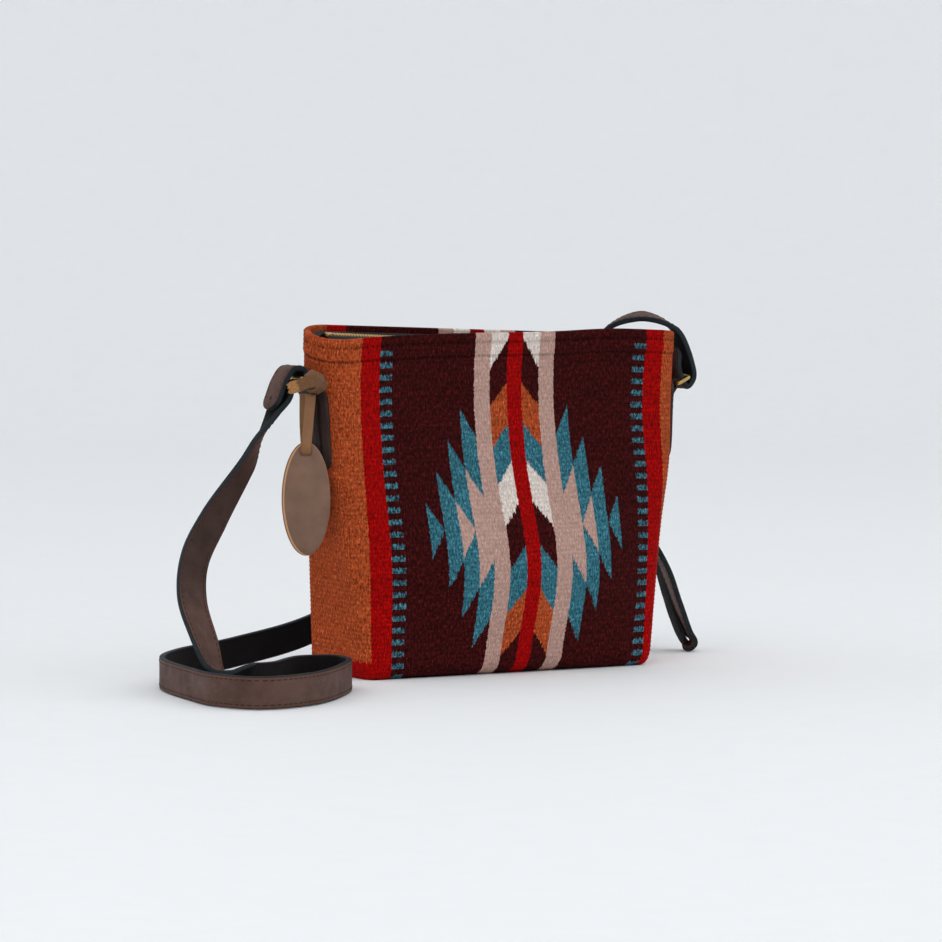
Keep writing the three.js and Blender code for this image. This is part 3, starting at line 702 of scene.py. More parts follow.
def mesh_from(name, vertices, faces, corners=None):
    """Mesh object from points, arrays of faces of one size each, and a map place for each corner."""
    mesh = bpy.data.meshes.new(name)
    mesh.vertices.add(len(vertices))
    mesh.vertices.foreach_set("co", np.ascontiguousarray(vertices, np.float32).ravel())
    sizes = np.concatenate([np.full(len(f), f.shape[1]) for f in faces])
    starts = np.concatenate([[0], np.cumsum(sizes)[:-1]])
    loops = np.concatenate([f.ravel() for f in faces])
    mesh.loops.add(len(loops))
    mesh.loops.foreach_set("vertex_index", loops.astype(np.int32))
    mesh.polygons.add(len(sizes))
    mesh.polygons.foreach_set("loop_start", starts.astype(np.int32))
    if corners is not None:
        layer = mesh.uv_layers.new(name="cloth")
        layer.data.foreach_set("uv", np.ascontiguousarray(corners * UV_SCALE, np.float32).ravel())
    mesh.update(calc_edges=True)
    mesh.validate()
    mesh.polygons.foreach_set("use_smooth", np.ones(len(mesh.polygons), bool))
    shown = bpy.data.objects.new(name, mesh)
    bpy.context.scene.collection.objects.link(shown)
    return shown


def piece(name, skin, material, body="bag", replaces=None):
    """Mesh object from a skin, with its material, its body and the solid that it stands for."""
    shown = mesh_from(name, *skin)
    shown.data.materials.append(material)
    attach(shown, body)
    if replaces:
        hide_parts(replaces)
    return shown


def spline(points, stations):
    """Centripetal Catmull-Rom curve through points at evenly counted stations: each span is a cubic whose
    end slopes come from the neighbouring chords, weighted by the square roots of their lengths."""
    ends = np.vstack([2 * points[0] - points[1], points, 2 * points[-1] - points[-2]])
    along = np.linspace(0, len(points) - 1, stations)
    span = np.minimum(along.astype(int), len(points) - 2)
    s = (along - span)[:, None]
    p0, p1, p2, p3 = (ends[span + n] for n in range(4))
    chords = (p1 - p0, p2 - p1, p3 - p2)
    d0, d1, d2 = (np.sqrt(np.linalg.norm(chord, axis=1, keepdims=True)) for chord in chords)
    shortest = 1e-4
    d1 = np.where(d1 < shortest, 1.0, d1)
    d0 = np.where(d0 < shortest, d1, d0)
    d2 = np.where(d2 < shortest, d1, d2)
    t1 = ((p1 - p0) / d0 - (p2 - p0) / (d0 + d1) + (p2 - p1) / d1) * d1
    t2 = ((p2 - p1) / d1 - (p3 - p1) / (d1 + d2) + (p3 - p2) / d2) * d1
    return p1 + t1 * s + (-3 * p1 + 3 * p2 - 2 * t1 - t2) * s**2 + (2 * p1 - 2 * p2 + t1 + t2) * s**3


def band_frame(points, edges):
    """Directions along, across and out of a band at each station: across is the direction of an edge, one
    for all or one each, made square to the run, and out is the cross product of along and across."""
    along = unit(np.gradient(points, axis=0))
    across = unit(edges - (edges * along).sum(1, keepdims=True) * along)
    return along, across, np.cross(along, across)


def rounded_section(width, thick, corner, steps=3):
    """Rectangle with rounded corners as pairs of across and out, starting on the outer face."""
    quarter = math.pi / 2
    turns = np.linspace(0, quarter, steps + 1)
    w, t = width / 2 - corner, thick / 2 - corner
    centres = ((w, t, 1), (w, -t, 0), (-w, -t, -1), (-w, t, 2))
    arcs = ((x, y, start * quarter - turns) for x, y, start in centres)
    return np.vstack([stacked(x + corner * np.cos(turn), y + corner * np.sin(turn)) for x, y, turn in arcs])


def carried(points, across, out, section):
    """A section carried along a line: each of its points goes across and out from every station."""
    return points[:, None] + across[:, None] * section[None, :, :1] + out[:, None] * section[None, :, 1:]


def sweep(points, edges, section, narrow=1.0):
    """Closed skin of a section carried along a line, its way across drawn in by a share at each station. The
    map runs round the section and along the line, in millimetres."""
    _, across, out = band_frame(points, edges)
    skin = carried(points, across * np.broadcast_to(narrow, len(points))[:, None], out, section)
    round_way = way_along(np.vstack([section, section[:1]]))
    uv = stacked(round_way[None] / MM, way_along(points)[:, None] / MM)
    return grid(np.roll(skin[:, ::-1], 1, axis=1), uv[:, ::-1])


def stitches(places, along, out, pitch, rise):
    """Small rounded stitches: a capsule of rings along each stitch's run, copied to every place."""
    reach, girth = np.array(STITCH_RINGS).T[..., None]
    turn = circle(STITCH_SIDES)
    rings = stacked(
        reach * pitch * STITCH_SHARE / 2, girth * np.cos(turn) * STITCH_WIDTH * MM / 2,
        girth * np.sin(turn) * rise * MM / 2,
    )
    template, faces, _ = grid(rings, ends="open")
    ring = np.arange(STITCH_SIDES)
    caps = np.stack([ring[::-1], len(template) - STITCH_SIDES + ring])
    axes = np.stack(np.broadcast_arrays(along, np.cross(out, along), out), 1)
    vertices = places[:, None] + np.einsum("tk,nkc->ntc", template, axes)
    return vertices.reshape(-1, 3), copied([*faces, caps], len(template), len(places))


# Pouch shape


def outline(half_width, half_depth, corner, share):
    """Rounded rectangle by share of its way round from the left middle across the front: two straight halves
    of the side, a corner, the front, a corner, and the same again half a turn on."""
    flat_x, flat_y = half_width - corner, half_depth - corner
    arc = math.pi / 2 * corner
    half = 2 * (flat_x + flat_y + arc)
    share = np.mod(share, 1)
    sign = np.where(share < 0.5, 1, -1)
    run = np.mod(share, 0.5) * 2 * half
    stops = [flat_y, flat_y + arc, flat_y + arc + 2 * flat_x, flat_y + 2 * arc + 2 * flat_x]
    first = (run - stops[0]) / corner
    second = (run - stops[2]) / corner
    where = [run < stop for stop in stops]
    x = np.select(where, [
        -half_width + 0 * run, -flat_x - corner * np.cos(first), run - stops[1] - flat_x,
        flat_x + corner * np.sin(second),
    ], half_width)
    y = np.select(where, [
        -run, -flat_y - corner * np.sin(first), -half_depth + 0 * run, -flat_y - corner * np.cos(second),
    ], run - half)
    return sign * x, sign * y


def outline_sizes(z):
    """Half width, half depth and corner radius of the outline at a height: straight tapers, with the width
    drawn in by a square law close to the rim."""
    t = z / HEIGHT
    late = np.clip((t - DRAW_START) / (1 - DRAW_START), 0, None)
    half_width = (BASE_WIDTH + (MOUTH_WIDTH - BASE_WIDTH) * t) / 2 - RIM_DRAW * late**2
    half_depth = (BASE_DEPTH + (MOUTH_DEPTH - BASE_DEPTH) * t) / 2
    corner = np.minimum(BASE_CORNER + (MOUTH_DEPTH / 2 - BASE_CORNER) * t, half_depth - CORNER_SLACK)
    return half_width, half_depth, corner


def share_at(x, z, inset, side):
    """Share of the way round at which the front or back wall, drawn in by an inset, lies at a place along
    the mouth: straight in the middle, then an arc of the corner."""
    half_width, half_depth, corner = outline_sizes(z)
    flat_x, flat_y = half_width - corner, half_depth - corner
    corner = corner - inset
    past = np.arcsin(np.clip((np.abs(x) - flat_x) / corner, 0, 1)) * corner
    along = np.clip(x, -flat_x, flat_x) + np.sign(x) * past
    quarter = flat_x + flat_y + math.pi / 2 * corner
    return (quarter - side * along) / (4 * quarter) + (0.0 if side < 0 else 0.5)


def bell(value, middle, reach):
    """Bell curve: one at the middle, falling with the square of the distance from it over a reach."""
    return np.exp(-(((value - middle) / reach) ** 2))


def wall(share, z, inset=0.0):
    """Place of the wall in millimetres: the outline grows from base to mouth, swells into a belly, rolls
    under at the base, draws in at the rim, is pinched at the back of the mouth, and turns, sways and leans
    as it rises. Bell curves fill out the right side and lift a stretch of the front rim."""
    share, z, inset = np.broadcast_arrays(share, z, inset)
    t = z / HEIGHT
    half_width, half_depth, corner = outline_sizes(z)
    outer_x, outer_y = outline(half_width, half_depth, corner, share)
    normal = unit(np.stack([outer_x / half_width**2, outer_y / half_depth**2], -1))
    half_width, half_depth = half_width - inset, half_depth - inset
    x, y = outline(half_width, half_depth, np.maximum(corner - inset, CORNER_SLACK), share)
    left = (1 - x / half_width) / 2
    back = (1 + y / half_depth) / 2
    lift = left * BACK_LIFT * back - FRONT_DIP * left**6 * (1 - back) - BACK_SAG * (1 - left) * back
    lift = lift + RIM_SWELL * bell(x, RIM_SWELL_PLACE, RIM_SWELL_REACH) * (1 - back)
    across = np.clip(1 - (x / half_width) ** 2, 0, 1)
    belly = BELLY * bell(z, BELLY_HEIGHT, BELLY_REACH)
    pinch = np.where(y > 0, BACK_PINCH * t**3, 0)
    y = y + y / half_depth * across * (belly - pinch)
    below = np.clip(ROLL + inset - z, 0, ROLL)
    tuck = (ROLL - np.sqrt(ROLL**2 - below**2)) * (SIDE_ROLL + (1 - SIDE_ROLL) * across)
    full = RIGHT_FULL * bell(z, RIGHT_FULL_HEIGHT, RIGHT_FULL_REACH) * (1 - left) ** 2
    x = x - normal[..., 0] * tuck + full
    y = y - normal[..., 1] * tuck
    turn = -TWIST * t
    place_x = x * np.cos(turn) - y * np.sin(turn) + SWAY * (z - RING_HEIGHT) / HEIGHT
    place_y = x * np.sin(turn) + y * np.cos(turn) - LEAN * (z - BELLY_HEIGHT) / (HEIGHT - BELLY_HEIGHT)
    return np.stack([place_x, place_y, z + t * lift], -1)


def wall_rows(columns, z, inset):
    """Rows of places all round the wall, one row for each height and its inset."""
    share = np.arange(columns) / columns
    return wall(share[None], z[:, None], np.broadcast_to(inset, len(z))[:, None])


def wall_normal(share, z):
    """Outward direction of the wall, from the cross product of its two slopes."""
    step = 0.5
    round_way = wall(share + step / CLOTH_ROUND, z) - wall(share - step / CLOTH_ROUND, z)
    rise = wall(share, np.minimum(z + step, HEIGHT)) - wall(share, np.maximum(z - step, 0))
    return unit(np.cross(round_way, rise))


# Finishes


def wool_across(finish, around, up, sway, fine):
    """Distance from the nearer centre stripe, at the front or the back. The columns lean near the rim and
    on the right, the right bands bow by a smooth step of height, and the yarns wander a little."""
    way = around - CLOTH_CENTRE
    rim_lean = finish.remap(up, RIM_LEAN_START, HEIGHT, 0.0, 1.0)
    right = finish.zone(way, *RIGHT_ZONE) * finish.remap(up, *RIGHT_LEAN)
    bow = finish.remap(abs(up - BOW_HEIGHT), 0.0, BOW_REACH, 1.0, 0.0)
    bow = bow * bow * (3 - bow * 2) * finish.zone(way, *BOW_ZONE) * BOW
    way = way - rim_lean * rim_lean * RIM_LEAN - right + bow
    way = way + (sway - 0.5) * YARN_SWAY + (fine - 0.5) * YARN_RAGGED
    return abs((way + CLOTH_HALF / 2) % CLOTH_HALF - CLOTH_HALF / 2)


def wool_pattern(finish, cloth, across, up, strokes, flecks):
    """Colours by distance from the centre stripe and by height: columns of serrated diamonds whose tips drop
    column by column, dashes, chevrons where height and distance add up to a level, and plain bands."""
    lively = finish.remap(flecks, *FLECK_SHARE)
    tints = {"cream": cloth.cream}
    for name in ("maroon", "orange", "teal", "red"):
        tints[name] = finish.mix(lively, getattr(cloth, name), getattr(cloth, f"{name}_fleck"))
    height = up + (strokes - 0.5) * STROKE_FEATHER
    way = (across - BEIGE_EDGE) / COLUMN_WIDTH
    column = way.floor()
    reach = DIAMOND_TIP - column * COLUMN_DROP - (1 - (way - column)) * COLUMN_SLANT
    from_middle = abs(height - DIAMOND_MIDDLE)
    in_columns = across.between(BEIGE_EDGE, BEIGE_EDGE + COLUMN_COUNT * COLUMN_WIDTH)
    shade = finish.mix(in_columns * (from_middle < reach), tints["maroon"], tints["teal"])
    shade = finish.mix(in_columns * (from_middle < reach - BEIGE_LAG), shade, cloth.beige)
    dash = across.between(DASH_EDGE, STRIPE_EDGE) * (up < DASH_STOP)
    dash = dash * (((up + DASH_START) % DASH_PITCH) < finish.remap(strokes, *DASH_RISE))
    shade = finish.mix(dash * finish.remap(flecks, *DASH_BREAK), shade, tints["teal"])
    chevron = tints["maroon"]
    for level, name in CHEVRON_LEVELS:
        chevron = finish.mix((height + across * CHEVRON_SLOPE) > level, chevron, tints[name])
    chevron = finish.mix((height + across * TOP_SLOPE) > TOP_LEVEL, chevron, cloth.cream)
    for edge, tint in ((BEIGE_EDGE, cloth.beige), (CHEVRON_EDGE, chevron), (RED_EDGE, tints["red"])):
        shade = finish.mix(across < edge, shade, tint)
    side = finish.mix(height < FOOT_BAND, tints["orange"], tints["red"])
    for edge, tint in ((STRIPE_EDGE, tints["red"]), (SIDE_EDGE, side)):
        shade = finish.mix(across > edge, shade, tint)
    return shade


def wool_finish(cloth):
    """Wool: the woven pattern, with upright strokes of yarn that feather its slanted edges and heather every
    colour. Rows of the weave get painted shade between them, the foot is made lighter by painted light
    bounced from the floor, pale colours keep closer to one level, and two sewn grooves run round the hem
    with painted shade in them."""
    finish = Finish("ribbed_wool")
    around, up = finish.uv()
    grains = (STROKE_GRAIN, FINE_GRAIN, FLECK_GRAIN, SWAY_GRAIN, BROAD_GRAIN)
    strokes, fine, flecks, sway, broad = (finish.grain(around, up, *grain) for grain in grains)
    across = wool_across(finish, around, up, sway, fine)
    shade = wool_pattern(finish, cloth, across, up, strokes, flecks)
    row = (up / (cloth.rib_pitch / MM) + (sway - 0.5) * ROW_SWAY).wave(1) * 0.5 + 0.5
    lines = (up - (HEIGHT - drop) + (sway - 0.5) * GROOVE_SWAY for drop in GROOVE_DROPS)
    groove = sum(finish.remap(abs(line), *GROOVE_SHARE) for line in lines)
    # Painted shade: how deep the grooves are darkened, rising and falling stitch by stitch
    sewn = finish.remap(around.wave(GROOVE_STITCH), *GROOVE_PAINTED_SHADE)
    light = finish.remap(strokes, *STROKE_LIGHT) * finish.remap(fine, *FINE_LIGHT)
    # Painted light: the foot is made paler, as if lit from the floor
    light = light * finish.remap(up, *FOOT_PAINTED_BOUNCE) * finish.remap(broad, *BROAD_LIGHT)
    # Painted shade: darker between the rows of the weave, and in the sewn grooves stitch by stitch
    light = light * finish.remap(row, *ROW_PAINTED_SHADE) * (1 - groove * sewn)
    parts = finish.node("ShaderNodeSeparateColor", None, [shade])
    pale = parts * parts.output(2) > PALE_START
    level = light + pale * PALE_EVEN * (PALE_LIGHT - light)
    grey = finish.node("ShaderNodeCombineColor", None, [level, level, level])
    yarn = sum(value * rise for value, rise in zip((row, strokes, fine, groove), YARN_RISE))
    return finish.set(
        Base_Color=finish.mix(1.0, shade, grey, "MULTIPLY"), Roughness=1.0, Specular_IOR_Level=0.08,
        Normal=finish.bump(yarn, 0.5, 0.0006),
    )


def plain_cloth_finish(name, tint, pitch):
    """Fine plain weave: two crossed waves of yarn give the bump and a slight change of shade."""
    finish = Finish(name)
    around, up = finish.uv()
    cloudy = finish.noise(finish.place(), 60.0, 3.0)
    return finish.set(
        Base_Color=finish.mix(cloudy, darker(tint, 0.65), tint), Roughness=0.9, Sheen_Weight=0.15,
        Normal=finish.bump(around.wave(pitch) * up.wave(pitch), 0.4, 0.0003),
    )


def brass_finish(name, tint):
    """Polished brass with faint scratches and a little tarnish in patches."""
    finish = Finish(name)
    patches = finish.noise(finish.place(), 240.0, 4.0, 0.6)
    tarnish = finish.remap(patches, *TARNISH_SHARE)
    return finish.set(
        Base_Color=finish.mix(tarnish, tint, darker(tint, 0.7)), Metallic=1.0,
        Roughness=finish.remap(patches, *BRASS_ROUGHNESS), Normal=finish.bump(patches, 0.08, 0.0002),
    )


def leather_grain(finish):
    """Pebbled grain: noise in two sizes, one for the pores and one for soft wear."""
    place = finish.place()
    return finish.noise(place, 900.0, 4.0, 0.65), finish.noise(place, 55.0, 4.0, 0.6)


def worn(finish, wear, tint, share, worn_share=WEAR_SHARE):
    """A colour that darkens to a share of itself where the leather is worn."""
    return finish.mix(finish.remap(wear, *worn_share), tint, darker(tint, share))


def strap_finish(leather, edge_way, face_way, holes):
    """Strap leather: painted edges, brown on the outer face and near black inside, by the way round the
    section. Painted shade darkens the outer face along a stretch of the drop, and a dot of painted shade
    stands for each punched hole."""
    finish = Finish("strap_leather")
    around, run = finish.uv()
    pores, wear = leather_grain(finish)
    face = worn(finish, wear, leather.strap_face, 0.6)
    scuff = finish.grain(around, run, *SCUFF_GRAIN)
    face = finish.mix(finish.remap(scuff, *SCUFF_SHARE), face, leather.scuff)
    from_middle = abs(around - (edge_way + face_way / 2))
    face = finish.mix(from_middle > face_way / 2 - STRAP_RIM, face, leather.rim)
    # Painted shade: the outer face is darkened towards the inner face's colour around the middle of the drop
    face = finish.mix(finish.remap(abs(run - DROP_MIDDLE), *DROP_PAINTED_SHADE), face, leather.strap_back_and_shade)
    # Painted shade: a dark dot for each punched hole, which the skin does not cut
    for hole in holes:
        off = run - hole
        in_hole = (off * off + from_middle * from_middle) < HOLE_RADIUS**2
        face = finish.mix(in_hole, face, leather.strap_back_and_shade)
    shade = finish.mix(around.between(edge_way, edge_way + face_way), leather.edge_paint, face)
    inside = around > 2 * edge_way + face_way
    return finish.set(
        Base_Color=finish.mix(inside, shade, leather.strap_back_and_shade), Specular_IOR_Level=0.15,
        Roughness=finish.remap(wear, *STRAP_ROUGHNESS) + inside * 0.25,
        Normal=finish.bump(pores * 0.7 + wear * 0.6, 0.4, 0.0005),
    )


def leather_finish(name, tint, dark_share, roughness):
    """Leather of one colour, darker where it is worn, with a fine grain."""
    finish = Finish(name)
    pores, wear = leather_grain(finish)
    return finish.set(
        Base_Color=worn(finish, wear, tint, dark_share), Roughness=roughness, Specular_IOR_Level=0.2,
        Normal=finish.bump(pores * 0.7 + wear * 0.5, 0.35, 0.0005),
    )


def frayed_finish(leather):
    """Knot leather that turns to bare, roughened suede towards the cut end, by the way along the strip."""
    finish = Finish("frayed_leather")
    _, run = finish.uv()
    pores, wear = leather_grain(finish)
    bare = finish.remap(run + (wear - 0.5) * 0.3, *BARE_SHARE)
    shade = finish.mix(bare, leather.knot, leather.frayed)
    shade = finish.mix(finish.remap(pores, *PORE_SHARE), shade, darker(leather.knot, 0.5))
    return finish.set(
        Base_Color=shade, Roughness=0.85, Specular_IOR_Level=0.1,
        Normal=finish.bump(pores + wear, 0.6, 0.0006),
    )


def tag_finish(leather):
    """Tag leather: a mottled taupe face and a cut edge, pared wide and tan on the left and thin on the
    right, whose outermost line is redder."""
    finish = Finish("tag_leather")
    side, inset = finish.uv()
    pores, wear = leather_grain(finish)
    pared = finish.remap(side, *PARED_WIDTH)
    face = worn(finish, wear, leather.tag_face, 0.72, TAG_WEAR)
    shade = finish.mix(inset < pared, face, leather.tag_edge)
    shade = finish.mix(inset < pared * 0.4, shade, leather.tag_rim)
    return finish.set(
        Base_Color=shade, Roughness=0.55, Specular_IOR_Level=0.2,
        Normal=finish.bump(pores * 0.6 + wear * 0.6, 0.35, 0.0005),
    )


# Frames of the hardware


def seam_frame(side):
    """Place of the seam at the ring's height, and the directions out of the wall, up it and across it."""
    share = 0.0 if side < 0 else 0.5
    foot, head = wall(share, RING_HEIGHT - TAB_LENGTH), wall(share, RING_HEIGHT)
    up = unit(head - foot)
    turn = -TWIST * RING_HEIGHT / HEIGHT
    out = side * np.array([math.cos(turn), math.sin(turn), 0.0])
    out = unit(out - out.dot(up) * up)
    return head, out, up, np.cross(out, up)


def ring_frame(side):
    """Place of the tab's eye, and the directions of the ring's reach, its normal and its width."""
    head, out, up, width = seam_frame(side)
    reach = out * math.cos(RING_TILT) + up * math.sin(RING_TILT)
    return head + out * EYE_STAND, reach, np.cross(width, reach), width


def tag_frame():
    """Middle of the knot and of the tag, and the directions right across and out of the tag."""
    eye, reach, _, width = ring_frame(-1)
    knot = eye + reach * RING_REACH / 2 - width * KNOT_OFFSET
    right, forward = facing(TAG_FACING)
    return knot, knot + forward * TAG_SETBACK - right * TAG_SHIFT - UP * TAG_DROP, right, -forward


def zip_frame():
    """Middle of the chain and the directions along it, across it and out of it, as three turns give them."""
    front, back = (wall(share, HEIGHT, LINING_INSET + LINING_THICK) for share in (0.25, 0.75))
    middle = (front + back) / 2
    middle[2] = HEIGHT - ZIP_SINK
    return middle, (rotation(0, 1, -TWIST) @ rotation(2, 0, ZIP_SLOPE) @ rotation(1, 2, ZIP_TILT)).T


# Operators


class BAG_OT_stage(bpy.types.Operator):
    """Sets the photograph's camera, a pale floor that curves up into a backdrop, and soft light."""

    bl_idname = "bag.stage"
    bl_label = "Stage"

    def execute(self, context):
        scene = context.scene
        scene.view_settings.view_transform = "Standard"
        self.camera(scene)
        self.floor(scene.bag_stage)
        self.light(scene, scene.bag_stage)
        return {"FINISHED"}

    def camera(self, scene):
        """Camera on a circle round the bag, aimed a little downwards."""
        right, forward = facing(CAMERA_TURN)
        pitch = math.atan((CAMERA_RISE - CAMERA_AIM) / CAMERA_AWAY)
        data = bpy.data.cameras.new("view")
        data.lens = CAMERA_LENS
        data.sensor_width = CAMERA_SENSOR
        data.clip_end = CAMERA_END
        camera = bpy.data.objects.new("view", data)
        camera.location = -forward * CAMERA_AWAY + right * CAMERA_SIDE + UP * CAMERA_RISE
        camera.rotation_euler = (math.pi / 2 - pitch, 0.0, -CAMERA_TURN)
        scene.collection.objects.link(camera)
        scene.camera = camera

    def floor(self, stage):
        """Round floor with an open top: its section is flat, then a quarter circle, then a wall."""
        bend = np.linspace(0, math.pi / 2, FLOOR_STEPS)
        edge = FLOOR_REACH + FLOOR_BEND
        radius = np.concatenate([FLOOR_FLAT, FLOOR_REACH + FLOOR_BEND * np.sin(bend), [edge]])[:, None]
        flat = np.zeros(len(FLOOR_FLAT))
        rise = np.concatenate([flat, FLOOR_BEND * (1 - np.cos(bend)), [FLOOR_TOP]])[:, None]
        turn = circle(FLOOR_SIDES)
        vertices, faces, _ = grid(stacked(radius * np.cos(turn), radius * np.sin(turn), rise))
        shown = mesh_from("floor", vertices, [f[:, ::-1] for f in faces[:2]])
        finish = Finish("floor")
        speckle = finish.noise(finish.place(), 40.0, 4.0)
        shade = finish.mix(speckle, darker(stage.floor, 0.97), stage.floor)
        shown.data.materials.append(finish.set(Base_Color=shade, Roughness=0.7, Specular_IOR_Level=0.2))

    def light(self, scene, stage):
        """Even light from all round, a large soft lamp at the upper left and a weak one at the right."""
        world = bpy.data.worlds.new("soft_room")
        world.use_nodes = True
        background = world.node_tree.nodes["Background"]
        background.inputs["Color"].default_value = SKY_TINT
        background.inputs["Strength"].default_value = stage.sky
        scene.world = world
        for name, (place, size) in LAMPS.items():
            data = bpy.data.lights.new(name, "AREA")
            data.energy = getattr(stage, name)
            data.size = size
            lamp = bpy.data.objects.new(name, data)
            lamp.location = place
            x, y, z = LAMP_AIM - np.array(place)
            lamp.rotation_euler = (math.atan2(math.hypot(x, y), -z), 0.0, math.atan2(y, x) - math.pi / 2)
            scene.collection.objects.link(lamp)


class BAG_OT_strap(bpy.types.Operator):
    """Makes the flat shoulder strap with its folded ends, painted edges and rows of stitches."""

    bl_idname = "bag.strap"
    bl_label = "Shoulder strap"

    def execute(self, context):
        leather = context.scene.bag_leather
        points = spline(STRAP_ROUTE[:, :3] * MM, STRAP_STATIONS)
        edges = spline(STRAP_ROUTE[:, 3:], STRAP_STATIONS)
        section = rounded_section(STRAP_WIDTH, STRAP_THICK, STRAP_CORNER)
        edge_way = STRAP_THICK - 2 * STRAP_CORNER + math.pi * STRAP_CORNER
        face_way = STRAP_WIDTH - 2 * STRAP_CORNER
        run = way_along(points) / MM
        from_end = np.clip(np.minimum(run, run[-1] - run) / TAIL_ROUND, 0, 1)
        narrow = np.maximum(np.sqrt(1 - (1 - from_end) ** 2), TAIL_TIP)
        stations = np.linspace(0, len(STRAP_ROUTE) - 1, STRAP_STATIONS)
        holes = [float(np.interp(n, stations, run)) for n in TAIL_POINTS]
        material = strap_finish(leather, edge_way, face_way, holes)
        skin = sweep(points, edges, section * MM, narrow)
        strap = piece("strap_band", skin, material, replaces="shoulder_strap")
        sewn = self.sew(leather, points, edges)
        return {"FINISHED"}

    def sew(self, leather, points, edges):
        """Stitches along both edges of the outer face, at even steps of the strap's run."""
        run = way_along(points)
        at = np.arange(TAIL_ROUND * MM, run[-1] - TAIL_ROUND * MM, leather.stitch_pitch)
        middle, along, across, out = (
            np.stack([np.interp(at, run, values[:, k]) for k in range(3)], 1)
            for values in (points, *band_frame(points, edges))
        )
        inset = unit(across) * (STRAP_WIDTH / 2 - STRAP_SEAM) * MM
        places = middle - unit(out) * STRAP_THICK / 2 * MM
        places = np.concatenate([places - inset, places + inset])
        along, out = (np.tile(unit(way), (2, 1)) for way in (along, -out))
        skin = stitches(places, along, out, leather.stitch_pitch, STRAP_STITCH_RISE)
        thread = leather_finish("strap_thread", leather.thread, dark_share=0.7, roughness=0.8)
        return piece("strap_stitches", skin, thread)


